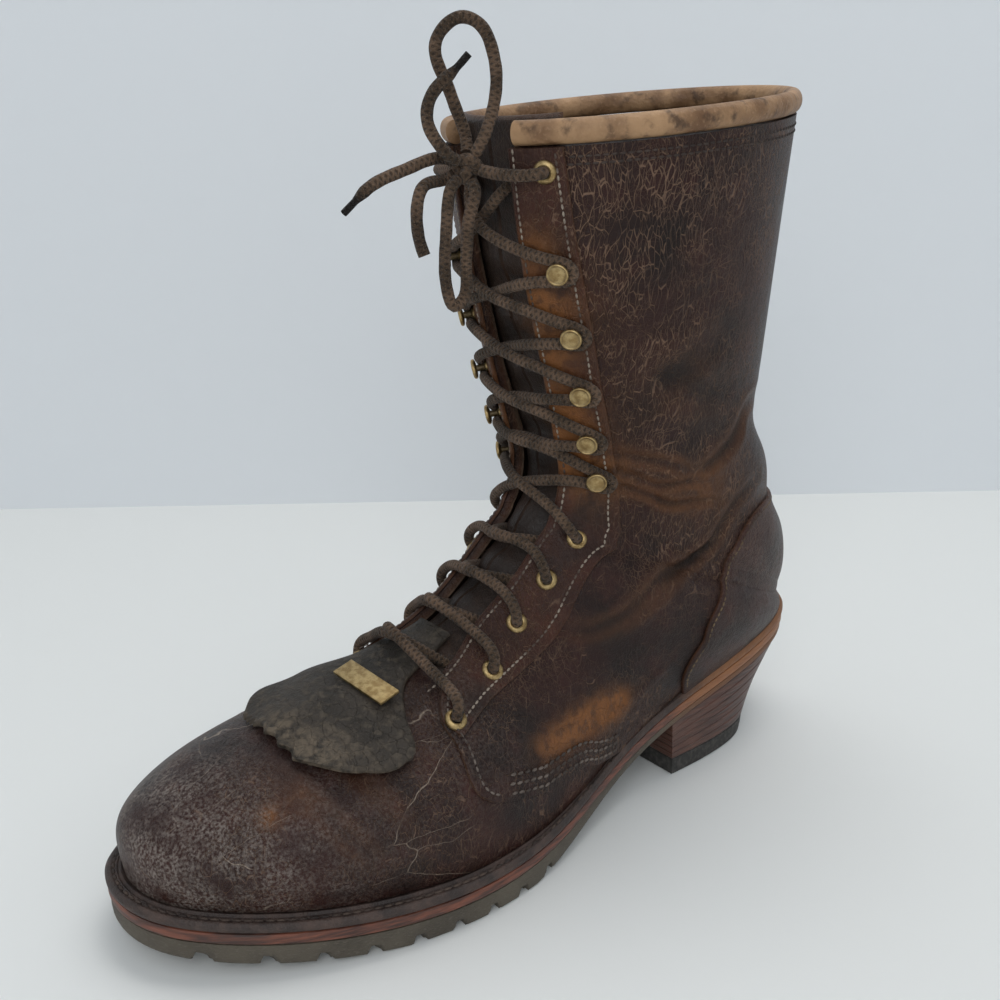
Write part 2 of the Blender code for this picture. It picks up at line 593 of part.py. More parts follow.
def upper_grid(side):
    """s and u of the wall's grid: columns along the boot, rows up each section, cells left open."""
    rows = np.r_[np.linspace(0, 1, FACING_ROW + 1) * THROAT_U, np.linspace(THROAT_U, 1, 4)[1:]]
    edge = smooth(rows, QUARTER_EDGE)[:, 0]
    edge[FACING_ROW:] = QUARTER_EDGE[-1][1]
    fore, aft = np.array(FORE_SHARES)[:, None], np.array(AFT_SHARES)[:, None]
    s = np.vstack([fore * edge, edge + aft * (COLLAR_S - edge)])
    heel_column = np.argmin(np.abs(s[:, 0] - 1))
    s[heel_column, 0] = 1.0
    u = np.broadcast_to(rows, s.shape).copy()
    behind = slice(len(fore), None)
    u[behind] *= u_across(s[behind], facing_gap(s[behind])) / THROAT_U
    keep = np.ones((s.shape[0] - 1, s.shape[1] - 1), bool)
    keep[len(fore) - 1:, FACING_ROW:] = False
    level = np.zeros(s.shape)
    level[behind] = QUARTER_LAP
    return s, u, level, keep


def upper(look):
    """One hollow wall: vamp, then the quarters and shaft a step higher, open at throat and collar."""
    outer, inner, faces = [], [], []
    start = 0
    for side in (1, -1):
        s, u, level, keep = upper_grid(side)
        outer.append(lifted(s, u, side, level).reshape(-1, 3))
        inner.append(lifted(s, u, side, -WALL).reshape(-1, 3))
        cells = grid_faces(*s.shape, start, keep, from_toe=True)
        faces.append(cells if side > 0 else cells[:, ::-1])
        start += s.size
    return shell("upper", np.vstack(outer), np.vstack(inner), np.vstack(faces), look)


def patch(name, s, u, level, thick, look, sides=(1, -1)):
    """A sheet of even thickness on the skin, a grid of s and u on one side or on both, joined."""
    outer, inner, faces = [], [], []
    start = 0
    for side in sides:
        outer.append(lifted(s, u, side, level + thick).reshape(-1, 3))
        inner.append(lifted(s, u, side, level).reshape(-1, 3))
        cells = grid_faces(*s.shape, start)
        faces.append(cells if side > 0 else cells[:, ::-1])
        start += s.size
    return shell(name, np.vstack(outer), np.vstack(inner), np.vstack(faces), look)


def overlay(name, outline, across, look, sides=(1, -1)):
    """A piece of leather laid on the quarters: a sheet on the wall's own grid, cut by an outline.

    The outline is a closed loop of (y, z) seen from the side, and across is its reach in x.
    """
    s, u, _, _ = upper_grid(1)
    behind = slice(len(FORE_SHARES), None)
    rows = slice(0, FACING_ROW + 1)
    made = patch(name, s[behind, rows], u[behind, rows], QUARTER_LAP + OVERLAY_FIT, OVERLAY, look, sides)
    count = len(outline)
    points = [(x, y, z) for x in across for y, z in outline]
    faces = [[i, (i + 1) % count, (i + 1) % count + count, i + count] for i in range(count)]
    faces += [list(range(count))[::-1], list(range(count, 2 * count))]
    mesh = bpy.data.meshes.new("outline_" + name)
    mesh.from_pydata(points, [], faces)
    work = bmesh.new()
    work.from_mesh(mesh)
    bmesh.ops.recalc_face_normals(work, faces=work.faces)
    work.to_mesh(mesh)
    work.free()
    tool = bpy.data.objects.new("outline_" + name, mesh)
    bpy.data.collections["cutters"].objects.link(tool)
    return boolean(made, tool, "INTERSECT")


def seam(s, u, count):
    """(y, z) of points along a seam given by s and u, seen from the lateral side."""
    at = np.linspace(0, 1, count)
    knots = np.linspace(0, 1, len(s))
    fine = smooth(at, np.c_[knots, s, u])
    return [tuple(p) for p in lifted(fine[:, 0], np.clip(fine[:, 1], 0, 1), 1, QUARTER_LAP)[:, 1:]]


def counter(look):
    """Heel counter around both quarters, its foot on the welt."""
    s, u = np.transpose(COUNTER_EDGE)
    front = seam(s, u, 22)
    low, high = front[0], front[-1]
    past = high[0] + BALL_WIDTH
    return overlay("counter", front + [(past, high[1]), (past, 0), (low[0] + 0.002, 0)],
                   (-BALL_WIDTH, BALL_WIDTH), look)


def eyestay(name, side, look):
    """Facing strip from above the throat to the collar, in front of its stitch line."""
    s = np.linspace(EYESTAY_FOOT, COLLAR_S, 9)
    back = seam(s, u_across(s, stay_reach(s)), 24)
    foot, top = back[0], back[-1]
    ahead = foot[0] - BALL_WIDTH
    outline = back + [(top[0], top[1] + BALL_WIDTH), (ahead, top[1] + BALL_WIDTH), (ahead, foot[1] + BALL_WIDTH / 4)]
    return overlay(name, outline, (0.001 * side, BALL_WIDTH * side), look, (side,))


def back_stay(look):
    """Narrow piping up the back seam, from the counter to the collar."""
    foot = seam((1.345, 1.345), (0.0, 0.0), 2)[0]
    top = seam((COLLAR_S - 0.002, COLLAR_S - 0.002), (0.0, 0.0), 2)[0]
    deep = BALL_WIDTH / 4
    outline = [(foot[0] - deep, foot[1]), (foot[0] + deep, foot[1]), (top[0] + deep, top[1]), (top[0] - deep, top[1])]
    return overlay("back_stay", outline, (-BACK_STAY_HALF, BACK_STAY_HALF), look)


def collar_binding(look):
    """Rolled edge that rests on the wall's top all round, from facing to facing."""
    rings = []
    top_u = float(u_across(COLLAR_TOP, facing_gap(COLLAR_TOP) + 0.0006))
    shares = np.linspace(0, 1, 16)
    angles = np.linspace(0, 2 * math.pi, 9)[:-1] + math.pi / 8
    path = [(1, u) for u in shares[::-1] * top_u] + [(-1, u) for u in shares[1:] * top_u]
    for side, u in path:
        low, high = skin(COLLAR_S, u, side), skin(2.0, u, side)
        rise = (high - low) / np.linalg.norm(high - low)
        out = facing_direction(COLLAR_S, u, side)
        middle = low + out * (QUARTER_LAP - WALL) / 2 + rise * (BINDING_RISE + FIT)
        rings.append([middle + out * (BINDING_HALF + 0.0006) * math.cos(a) * 1.1
                      + rise * BINDING_RISE * math.sin(a) for a in angles])
    return loft("collar_binding", rings, look, angle=60)


def tongue(look):
    """Tongue under the facings, from inside the vamp up past the collar, clear of its rolled edge."""
    s = np.linspace(0.50, TONGUE_TOP, 20)[:, None] + np.zeros((1, 4))
    rows = smooth(s[:, 0], TONGUE)
    u = u_across(s, BALL_WIDTH * rows[:, :1] * np.linspace(1, 0, 4)[None])
    u[:, -1] = 1
    level = -WALL - SOFT_FIT - TONGUE_THICK - BINDING_HALF * rows[:, 1:]
    return patch("tongue", s, u, level, TONGUE_THICK, look)


def kiltie(look):
    """False tongue over the vamp, its foot tucked into the throat under the lowest laces."""
    s = np.linspace(KILTIE[0][0], KILTIE[-1][0], 13)[:, None] + np.zeros((1, 5))
    rows = smooth(s[:, 0], KILTIE)
    u = u_across(s, BALL_WIDTH * rows[:, :1] * np.linspace(1, 0, 5)[None])
    u[:, -1] = 1
    return patch("kiltie", s, u, KILTIE_THICK * rows[:, 1:], KILTIE_THICK, look)


def stay_frame(s, side, across, level):
    """Matrix at a point on the facing: X away from the gap, Z out of the leather."""
    u = u_across(s, across)
    place = lifted(s, u, side, level)
    out = facing_direction(s, u, side)
    away = skin(s, u - 0.02, side) - skin(s, u, side)
    away -= out * np.dot(away, out)
    away /= np.linalg.norm(away)
    matrix = Matrix.Identity(4)
    for column, axis in enumerate((away, np.cross(out, away), out, place)):
        for row in range(3):
            matrix[row][column] = axis[row]
    return matrix


def lace_rows():
    """s of each row of the lacing from the throat to the collar."""
    return EYELET_S + HOOK_S + (TOP_EYELET_S,)


def keeper(carrier, look):
    """Small blank brass plate on the kiltie."""
    bpy.ops.mesh.primitive_cube_add(size=1)
    made = bpy.context.object
    made.name = "lace_keeper"
    frame = stay_frame(KEEPER_S, 1, KEEPER_ACROSS, KILTIE_THICK * (1 + float(smooth(KEEPER_S, KILTIE)[..., 1])))
    made.data.transform(Matrix.Diagonal((*KEEPER_SIZE, 1)))
    made.matrix_world = rested(frame, KEEPER_SIZE[0] / 2, carrier) @ Matrix.Translation((0, 0, KEEPER_SIZE[2] / 2))
    unlink(made)
    return finished(made, look)


def unlink(obj):
    for owner in list(obj.users_collection):
        owner.objects.unlink(obj)


def rested(frame, radius, carrier):
    """The frame moved along its own Z so that a disc there clears the carrier's faces by FIT."""
    tree = BVHTree.FromObject(carrier, bpy.context.evaluated_depsgraph_get())
    above = 4 * OVERLAY
    down = frame.to_3x3() @ Vector((0, 0, -1))
    drops = []
    for angle in np.linspace(0, 2 * math.pi, 17):
        for share in (0.5, 1.0):
            spot = Vector((share * radius * math.cos(angle), share * radius * math.sin(angle), above))
            drop = tree.ray_cast(frame @ spot, down, 2 * above)[3]
            drops += [] if drop is None else [drop]
    return frame @ Matrix.Translation((0, 0, above - min(drops, default=above) + FIT))


def eyelets(stays, look):
    """Rolled rings on both facings: five low ones and one at the top."""
    level = QUARTER_LAP + OVERLAY_FIT + OVERLAY
    bpy.ops.mesh.primitive_torus_add(major_radius=EYELET_RADIUS - EYELET_RIM, minor_radius=EYELET_RIM,
                                     major_segments=12, minor_segments=4)
    first = bpy.context.object
    mesh = first.data
    bpy.data.objects.remove(first)
    for side, word in ((1, "lateral"), (-1, "medial")):
        for number, s in enumerate(EYELET_S + (TOP_EYELET_S,), 1):
            ring = bpy.data.objects.new(f"eyelet_{word}_{number}", mesh)
            frame = rested(stay_frame(s, side, float(row_reach(s)), level), EYELET_RADIUS, stays[side])
            ring.matrix_world = frame @ Matrix.Translation((0, 0, EYELET_RIM))
            finished(ring, look)


def hook_mesh():
    """Speed hook: a riveted plate and a wire that rises and turns away from the gap."""
    radius, thick = HOOK_PLATE
    bpy.ops.mesh.primitive_cylinder_add(vertices=12, radius=radius, depth=thick, location=(0, 0, thick / 2))
    plate = bpy.context.object
    plate.name = "hook_plate"
    arm = [(0, 0, thick / 2), (0, 0, HOOK_RISE * 0.55), (HOOK_REACH * 0.18, 0, HOOK_RISE * 0.86),
           (HOOK_REACH * 0.5, 0, HOOK_RISE), (HOOK_REACH, 0, HOOK_RISE * 0.92)]
    wire = as_mesh(tube("hook_wire", arm, 2 * HOOK_WIRE, sides=1))
    joined_plate = as_mesh(boolean(plate, wire, "UNION"))
    mesh = joined_plate.data
    mesh.transform(joined_plate.matrix_world)
    bpy.data.objects.remove(joined_plate)
    bpy.data.objects.remove(wire)
    return mesh


def hooks(stays, look):
    """Five speed hooks up each facing."""
    mesh = hook_mesh()
    level = QUARTER_LAP + OVERLAY_FIT + OVERLAY
    for side, word in ((1, "lateral"), (-1, "medial")):
        for number, s in enumerate(HOOK_S, 1):
            made = bpy.data.objects.new(f"hook_{word}_{number}", mesh)
            frame = stay_frame(s, side, float(row_reach(s)), level)
            made.matrix_world = rested(frame, HOOK_PLATE[0], stays[side])
            finished(made, look)


def knot_face(point):
    """Where a cord that runs straight between the point and the knot's middle meets the knot."""
    heading = np.asarray(point) - KNOT
    return np.array(KNOT) + heading * (KNOT_RADIUS + FIT) / np.linalg.norm(heading)


def lace_side(start):
    """One strand of the lacing: it crosses over between rows, above facings and tongue, to the knot."""
    rows = lace_rows()
    over_stay = QUARTER_LAP + OVERLAY_FIT + OVERLAY + LACE_OVER_STAY + LACE / 2
    points = []
    for i, s in enumerate(rows):
        side = start * (-1)**i
        points.append(lifted(s, u_across(s, facing_gap(s)), side, over_stay))
        if i + 1 < len(rows):
            middle = (s + rows[i + 1]) / 2
            rise = 1.5 * KILTIE_THICK + LACE_OVER_STAY + LACE / 2 + CROSSING_STEP
            points.append(lifted(middle, 1.0, side, rise + start * CROSSING_STEP))
    points.append(knot_face(points[-1]))
    return routed(points, 1.9 * LACE)


def lace_crossings(look):
    """Both strands of the lacing, joined where they cross."""
    first = as_mesh(tube("lace_crossings", lace_side(1), LACE, sides=1))
    second = as_mesh(tube("lace_strand", lace_side(-1), LACE, sides=1))
    made = boolean(first, second, "UNION")
    unlink(made)
    return finished(made, look, angle=60)


def bow(look):
    """Knot, loops and ends of the lace, hanging free in front of the tongue's top."""
    bpy.ops.mesh.primitive_uv_sphere_add(segments=16, ring_count=10, radius=KNOT_RADIUS, location=KNOT)
    knot = bpy.context.object
    knot.name = "lace_knot"
    unlink(knot)
    finished(knot, look)
    for name, route in (("lace_bight", BIGHT), ("lace_end_up", END_UP), ("lace_end_side", END_SIDE)):
        tube(name, np.vstack([knot_face(route[0]), routed(route, 2.2 * LACE)]), LACE, look)
    for name, route in (("lace_loop_up", LOOP_UP), ("lace_loop_down", LOOP_DOWN)):
        way = np.vstack([knot_face(route[0]), routed(route, 2.2 * LACE), knot_face(route[-1])])
        tube(name, way, LACE, look)


def materials():
    return {
        "leather": material("oiled_leather", (0.050, 0.022, 0.016), 0.42),
        "overlay": material("overlay_leather", (0.058, 0.026, 0.018), 0.42),
        "tan": material("tan_binding", (0.24, 0.11, 0.05), 0.5),
        "tongue": material("tongue_leather", (0.045, 0.024, 0.018), 0.55),
        "welt": material("welt_leather", (0.040, 0.024, 0.018), 0.55),
        "edge": material("midsole_leather", (0.13, 0.055, 0.034), 0.5),
        "rubber": material("sole_rubber", (0.060, 0.045, 0.033), 0.65),
        "stack": material("stacked_leather", (0.075, 0.036, 0.028), 0.5),
        "lift": material("heel_rubber", (0.035, 0.030, 0.027), 0.65),
        "insole": material("insole_leather", (0.22, 0.13, 0.08), 0.7),
        "brass": material("aged_brass", (0.36, 0.26, 0.13), 0.4, 1.0),
        "lace": material("waxed_lace", (0.075, 0.045, 0.032), 0.85),
    }


def build():
    global collection
    for obj in list(bpy.data.objects):
        bpy.data.objects.remove(obj)
    collection = bpy.data.collections.new("logger_boot")
    bpy.context.scene.collection.children.link(collection)
    bpy.context.scene.collection.children.link(bpy.data.collections.new("cutters"))
    look = materials()
    outsole(look["rubber"])
    midsole(look["edge"])
    welt(look["welt"])
    heel(look["stack"], look["lift"])
    insole(look["insole"])
    upper(look["leather"])
    counter(look["overlay"])
    stays = {side: eyestay(name, side, look["overlay"])
             for name, side in (("eyestay_lateral", 1), ("eyestay_medial", -1))}
    back_stay(look["overlay"])
    collar_binding(look["tan"])
    tongue(look["tongue"])
    keeper(kiltie(look["overlay"]), look["brass"])
    eyelets(stays, look["brass"])
    hooks(stays, look["brass"])
    lace_crossings(look["lace"])
    bow(look["lace"])


build()
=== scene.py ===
"""Dresses the left logger boot for its photograph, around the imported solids.

Metres, +Z up. The toe points to -Y and the outer (lateral) side is at +X.
"""
import math

import bmesh
import bpy
import numpy as np
from mathutils import Matrix


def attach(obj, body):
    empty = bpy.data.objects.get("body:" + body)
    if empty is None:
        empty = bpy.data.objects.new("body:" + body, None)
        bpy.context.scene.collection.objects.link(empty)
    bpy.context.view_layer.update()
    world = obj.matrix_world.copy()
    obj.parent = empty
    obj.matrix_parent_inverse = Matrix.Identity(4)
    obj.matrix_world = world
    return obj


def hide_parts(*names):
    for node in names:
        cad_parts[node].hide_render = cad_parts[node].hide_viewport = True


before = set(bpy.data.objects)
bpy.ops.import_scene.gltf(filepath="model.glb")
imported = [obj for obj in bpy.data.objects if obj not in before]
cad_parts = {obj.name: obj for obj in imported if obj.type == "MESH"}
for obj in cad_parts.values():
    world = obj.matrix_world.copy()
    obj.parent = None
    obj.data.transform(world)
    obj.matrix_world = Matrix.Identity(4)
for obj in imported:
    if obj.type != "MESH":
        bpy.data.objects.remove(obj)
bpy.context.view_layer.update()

# Floor, light and camera.
# The boot stands on pale paper before a pale wall, which meets the floor a hand behind it.
# Two large soft panels and a pale sky light it, and the camera looks down on its outer side.


class Socket:
    """A shader socket that adds a Math node when it is used in an expression."""

    def __init__(self, finish, socket):
        self.finish, self.socket = finish, socket

    def math(self, operation, *others, clamp=False):
        values = {i: value for i, value in enumerate((self, *others))}
        return self.finish.node("Math", {"operation": operation, "use_clamp": clamp}, values)

    def __add__(self, other):
        return self.math("ADD", other)

    def __sub__(self, other):
        return self.math("SUBTRACT", other)

    def __rsub__(self, other):
        return self.finish.node("Math", {"operation": "SUBTRACT"}, {0: other, 1: self})

    def __mul__(self, other):
        return self.math("MULTIPLY", other)

    __radd__, __rmul__ = __add__, __mul__

    def clamped(self):
        return self.math("ADD", 0.0, clamp=True)

    def between(self, low, high):
        """0 below low, 1 above high and a smooth step between them; low above high turns it round."""
        return self.finish.node("MapRange", {"interpolation_type": "SMOOTHSTEP"},
                                {"Value": self, "From Min": low, "From Max": high})


class Finish:
    """A material that is built node by node from a piece's own coordinates."""

    def __init__(self, name):
        self.material = bpy.data.materials.new(name)
        self.material.use_nodes = True
        self.tree = self.material.node_tree
        self.tree.nodes.clear()
        self.places = self.node("TexCoord", {}, {}, "Object")

    def node(self, kind, settings, values, output=0):
        made = self.tree.nodes.new("ShaderNode" + kind)
        for key, value in settings.items():
            setattr(made, key, value)
        for key, value in values.items():
            if isinstance(value, Socket):
                self.tree.links.new(value.socket, made.inputs[key])
            else:
                made.inputs[key].default_value = value
        return Socket(self, made.outputs[output])

    def noise(self, scale, detail, places=None):
        return self.node("TexNoise", {}, {"Vector": places or self.places, "Scale": scale, "Detail": detail,
                                          "Roughness": 0.55})

    def cracks(self, scale, places=None):
        """Distance to the nearest wall of a cell pattern, small on its lines."""
        return self.node("TexVoronoi", {"feature": "DISTANCE_TO_EDGE"},
                         {"Vector": places or self.places, "Scale": scale})

    def turned(self, turn=(0, 0, 0), scale=(1, 1, 1), places=None):
        return self.node("Mapping", {}, {"Vector": places or self.places, "Rotation": turn, "Scale": scale})

    def warped(self, amount, scale):
        """The coordinates pushed about by a noise, so that straight patterns wander."""
        push = self.node("TexNoise", {}, {"Vector": self.places, "Scale": scale, "Detail": 2.0}, "Color")
        push = self.node("VectorMath", {"operation": "SUBTRACT"}, {0: push, 1: (0.5, 0.5, 0.5)})
        push = self.node("VectorMath", {"operation": "SCALE"}, {0: push, "Scale": amount})
        return self.node("VectorMath", {"operation": "ADD"}, {0: self.places, 1: push})

    def towards_heel(self):
        """The coordinates' Y, which grows from the toe to the heel."""
        return self.node("SeparateXYZ", {}, {0: self.places}, 1)

    def mark(self, name):
        """A value painted on the piece's points."""
        return self.node("Attribute", {"attribute_name": name}, {}, "Fac")

    def mix(self, share, first, second):
        first, second = (c if isinstance(c, Socket) else (*c, 1) for c in (first, second))
        return self.node("Mix", {"data_type": "RGBA"}, {0: share, 6: first, 7: second}, 2)

    def bump(self, height, distance, normal=None, strength=1.0):
        values = {"Height": height, "Distance": distance, "Strength": strength}
        if normal:
            values["Normal"] = normal
        return self.node("Bump", {}, values)

    def done(self, colour, roughness, normal=None, **fixed):
        """Closes the material; fixed values go straight onto the shader's own sockets."""
        colour = colour if isinstance(colour, Socket) else (*colour, 1)
        values = {"Base Color": colour, "Roughness": roughness}
        if normal:
            values["Normal"] = normal
        values.update({key.replace("_", " "): value for key, value in fixed.items()})
        shader = self.node("BsdfPrincipled", {}, values)
        out = self.tree.nodes.new("ShaderNodeOutputMaterial")
        self.tree.links.new(shader.socket, out.inputs[0])
        return self.material


EYE = (0.34006, -0.36053, 0.27734)
YAW, PITCH, ROLL = (math.radians(a) for a in (51.83, 18.95, 1.08))
LENS = 42.87

view = bpy.data.cameras.new("camera")
view.lens, view.sensor_width, view.clip_start = LENS, 36, 0.01
camera = bpy.data.objects.new("camera", view)
bpy.context.scene.collection.objects.link(camera)
camera.matrix_world = (Matrix.Translation(EYE) @ Matrix.Rotation(YAW, 4, "Z")
                       @ Matrix.Rotation(math.pi / 2 - PITCH, 4, "X") @ Matrix.Rotation(-ROLL, 4, "Z"))
bpy.context.scene.camera = camera
bpy.context.scene.view_settings.view_transform = "Standard"


def mesh_object(name, points, faces, marks=None):
    """A mesh object at the origin, with values painted on its points."""
    mesh = bpy.data.meshes.new(name)
    faces = faces.tolist() if isinstance(faces, np.ndarray) else faces
    mesh.from_pydata(np.asarray(points).reshape(-1, 3).tolist(), [], faces)
    for mark, values in (marks or {}).items():
        painted = mesh.attributes.new(mark, "FLOAT", "POINT")
        painted.data.foreach_set("value", np.asarray(values, np.float32).ravel())
    made = bpy.data.objects.new(name, mesh)
    bpy.context.scene.collection.objects.link(made)
    return made


def lit(name, place, aim, size, power, colour):
    lamp = bpy.data.lights.new(name, "AREA")
    lamp.shape, lamp.size, lamp.energy, lamp.color = "DISK", size, power, colour
    made = bpy.data.objects.new(name, lamp)
    made.matrix_world = Matrix.Translation(place)
    aim_at = (Matrix.Translation(aim).to_translation() - made.location).to_track_quat("-Z", "Y")
    made.rotation_euler = aim_at.to_euler()
    bpy.context.scene.collection.objects.link(made)


lit("panel_over", (-0.25, 0.35, 1.25), (0, -0.1, 0.1), 1.1, 14, (1.0, 0.985, 0.96))
lit("panel_front", (0.9, -0.9, 0.9), (0, -0.1, 0.12), 0.9, 5.5, (0.95, 0.98, 1.0))
sky = bpy.data.worlds.new("studio")
bpy.context.scene.world = sky
sky.use_nodes = True
sky.node_tree.nodes["Background"].inputs["Color"].default_value = (0.80, 0.84, 0.88, 1)
sky.node_tree.nodes["Background"].inputs["Strength"].default_value = 0.62

WALL_BEHIND = 0.318
PAPER = 4
ahead = np.array([-math.sin(YAW), math.cos(YAW), 0])
aside = np.array([math.cos(YAW), math.sin(YAW), 0])
left, right = (ahead * WALL_BEHIND + aside * reach for reach in (-PAPER, PAPER))
floor = mesh_object("floor", [left - ahead * PAPER, right - ahead * PAPER, right, left], [[0, 1, 2, 3]])
wall = mesh_object("wall", [left, right, right + [0, 0, PAPER], left + [0, 0, PAPER]], [[0, 1, 2, 3]])
for board, colour in ((floor, (0.80, 0.81, 0.795)), (wall, (0.80, 0.825, 0.85))):
    paper = Finish(board.name + "_paper")
    board.data.materials.append(paper.done(colour, 0.8, Specular_IOR_Level=0.2))
# From behind the wall is clear, so that the boot can be looked at from every side.
back = paper.node("NewGeometry", {}, {}, "Backfacing")
front = Socket(paper, paper.tree.nodes["Principled BSDF"].outputs[0])
seen = paper.node("MixShader", {}, {0: back, 1: front, 2: paper.node("BsdfTransparent", {}, {})})
paper.tree.links.new(seen.socket, paper.tree.nodes["Material Output"].inputs[0])

# Insole and last.
# A tan leather board, tacked under the last, that closes the bottom of the boot.
# The leather above it is drawn over the last, so the last's own surface is worked out here.
LENGTH = 0.312
BALL_WIDTH = 0.112
SEAT_HEIGHT = 0.0585
SHAFT_HEIGHT = 0.273
HEEL_TO_ORIGIN = 0.18 * LENGTH
LEATHER = 0.0024

# Halves of the sole in plan: share of the length from the heel, then ball widths from the middle line.
LATERAL_HALF = ((0.0, 0.0), (0.03, 0.25), (0.115, 0.335), (0.24, 0.330), (0.40, 0.385), (0.55, 0.50),
                (0.67, 0.53), (0.80, 0.452), (0.935, 0.25), (0.985, 0.09), (1.0, -0.07))
MEDIAL_HALF = ((0.0, 0.0), (0.03, -0.24), (0.115, -0.32), (0.26, -0.285), (0.43, -0.275), (0.60, -0.40),
               (0.72, -0.475), (0.84, -0.465), (0.935, -0.37), (0.985, -0.24), (1.0, -0.07))
# Share of the length, then the heights of the welt's top and of the tread in seat heights.
SOLE_HEIGHTS = ((0.0, 1.0, 0.80), (0.12, 0.846, 0.645), (0.24, 0.667, 0.465), (0.36, 0.53, 0.32),
                (0.48, 0.393, 0.14), (0.55, 0.33, 0.03), (0.60, 0.308, -0.02), (0.70, 0.30, -0.02),
                (0.80, 0.316, 0.02), (0.92, 0.376, 0.09), (1.0, 0.419, 0.14))
# How far the welt shows at most, and at each share of the length.
WELT_SHOW = 0.0062
WELT_INSETS = ((0.0, 0.68), (0.12, 0.71), (0.25, 0.56), (0.45, 0.32), (0.60, 0.73), (0.75, 1.0), (1.0, 1.0))
# Ridge of instep and shin, and line of the back: s, share of the length, share of the shaft's height.
RIDGE = ((0.00, 0.982, 0.1245), (0.06, 0.9776, 0.150), (0.13, 0.9487, 0.1813), (0.22, 0.8878, 0.216),
         (0.32, 0.8077, 0.2436), (0.44, 0.7115, 0.269), (0.56, 0.6218, 0.2985), (0.68, 0.5545, 0.339),
         (0.80, 0.5032, 0.385), (0.90, 0.4712, 0.421), (1.00, 0.4471, 0.4615), (1.10, 0.4343, 0.498),
         (1.22, 0.4311, 0.5385), (1.36, 0.4391, 0.590), (1.52, 0.4535, 0.663), (1.70, 0.4728, 0.758),
         (1.86, 0.492, 0.872), (2.00, 0.5064, 0.987))
BACK = ((1.00, 0.0135, 0.2143), (1.09, 0.006, 0.262), (1.19, 0.020, 0.331), (1.28, 0.047, 0.381),
        (1.36, 0.053, 0.430), (1.43, 0.068, 0.476), (1.50, 0.093, 0.523), (1.58, 0.092, 0.578),
        (1.70, 0.083, 0.665), (1.85, 0.069, 0.84), (2.00, 0.053, 1.05))
# s, swell in ball widths, rise of the widest point, and the powers above and below it.
SECTIONS = ((0.00, 0.0, 0.30, 2.1, 2.0), (0.10, 0.071, 0.30, 2.1, 2.0), (0.25, 0.098, 0.28, 2.1, 2.0),
            (0.45, 0.125, 0.26, 2.1, 2.0), (0.60, 0.152, 0.24, 2.05, 2.0), (0.75, 0.196, 0.26, 2.0, 2.0),
            (0.90, 0.268, 0.34, 2.0, 2.1), (1.00, 0.317, 0.42, 2.0, 2.3), (1.15, 0.344, 0.45, 2.0, 2.3),
            (1.35, 0.371, 0.47, 2.1, 2.2), (1.60, 0.406, 0.48, 2.15, 2.1), (1.80, 0.455, 0.48, 2.15, 2.0),
            (2.00, 0.509, 0.48, 2.15, 2.0))
LOWER_SHARE = 0.42


def spline(at, rows):
    """Natural cubic spline through rows of (knot, value, ...): between two knots the value is a cubic
    whose bend runs straight from one knot's bend to the next, and the bends make the slopes meet."""
    rows = np.asarray(rows, float)
    knots, values = rows[:, 0], rows[:, 1:]
    step = np.diff(knots)
    inner = np.arange(1, len(knots) - 1)
    matrix, right = np.eye(len(knots)), np.zeros(values.shape)
    matrix[inner, inner - 1], matrix[inner, inner + 1] = step[:-1], step[1:]
    matrix[inner, inner] = 2 * (step[:-1] + step[1:])
    slopes = np.diff(values, axis=0) / step[:, None]
    right[inner] = 6 * np.diff(slopes, axis=0)
    bend = np.linalg.solve(matrix, right)
    at = np.asarray(at, float)
    k = np.clip(np.searchsorted(knots, at) - 1, 0, len(knots) - 2)
    before, after, width = (knots[k + 1] - at)[..., None], (at - knots[k])[..., None], step[k][..., None]
    return ((bend[k] * before**3 + bend[k + 1] * after**3) / (6 * width)
            + (values[k] / width - bend[k] * width / 6) * before
            + (values[k + 1] / width - bend[k + 1] * width / 6) * after)


def run_along(points, axis=0):
    """Distance along each line of points, counted from its first."""
    step = np.linalg.norm(np.diff(points, axis=axis), axis=-1)
    return np.insert(np.cumsum(step, axis=axis), 0, 0.0, axis=axis)


def placed(at, run, points):
    """Points at the given distances along a line, straight between its own."""
    return np.stack([np.interp(at, run, column) for column in points.T], 1)


def unit(vectors):
    return vectors / np.linalg.norm(vectors, axis=-1, keepdims=True)


def reflected(rows, parity):
    """Rows continued below their first knot, even (1) or odd (-1) about it."""
    rows = np.asarray(rows, float)
    flip = parity * rows[:0:-1]
    flip[:, 0] = -rows[:0:-1, 0]
    return np.vstack([flip, rows])


def along(y):
    """Share of the sole's length from the heel's back."""
    return np.clip((HEEL_TO_ORIGIN - np.asarray(y, float)) / LENGTH, 0, 1)


def seat(y):
    """Height of the welt's top."""
    return SEAT_HEIGHT * spline(along(y), SOLE_HEIGHTS)[..., 0]


def tread(y):
    """Height of the outsole's underside, flat on the floor under the ball."""
    return np.maximum(SEAT_HEIGHT * spline(along(y), SOLE_HEIGHTS)[..., 1], 0)


def sole_loop(count=720):
    """The sole's outline in plan: a periodic spline by arc length through the points of both halves."""
    rows = list(LATERAL_HALF) + list(MEDIAL_HALF[-2:0:-1]) + [LATERAL_HALF[0]]
    corners = np.asarray(rows) * [LENGTH, BALL_WIDTH]
    run = run_along(corners)
    wrap = 4
    knots = np.r_[run[-wrap - 1:-1] - run[-1], run, run[1:wrap + 1] + run[-1]]
    points = np.vstack([corners[-wrap - 1:-1], corners, corners[1:wrap + 1]])
    curve = spline(np.linspace(0, run[-1], count + 1)[:-1], np.c_[knots, points])
    return np.c_[curve[:, 1], HEEL_TO_ORIGIN - curve[:, 0]]


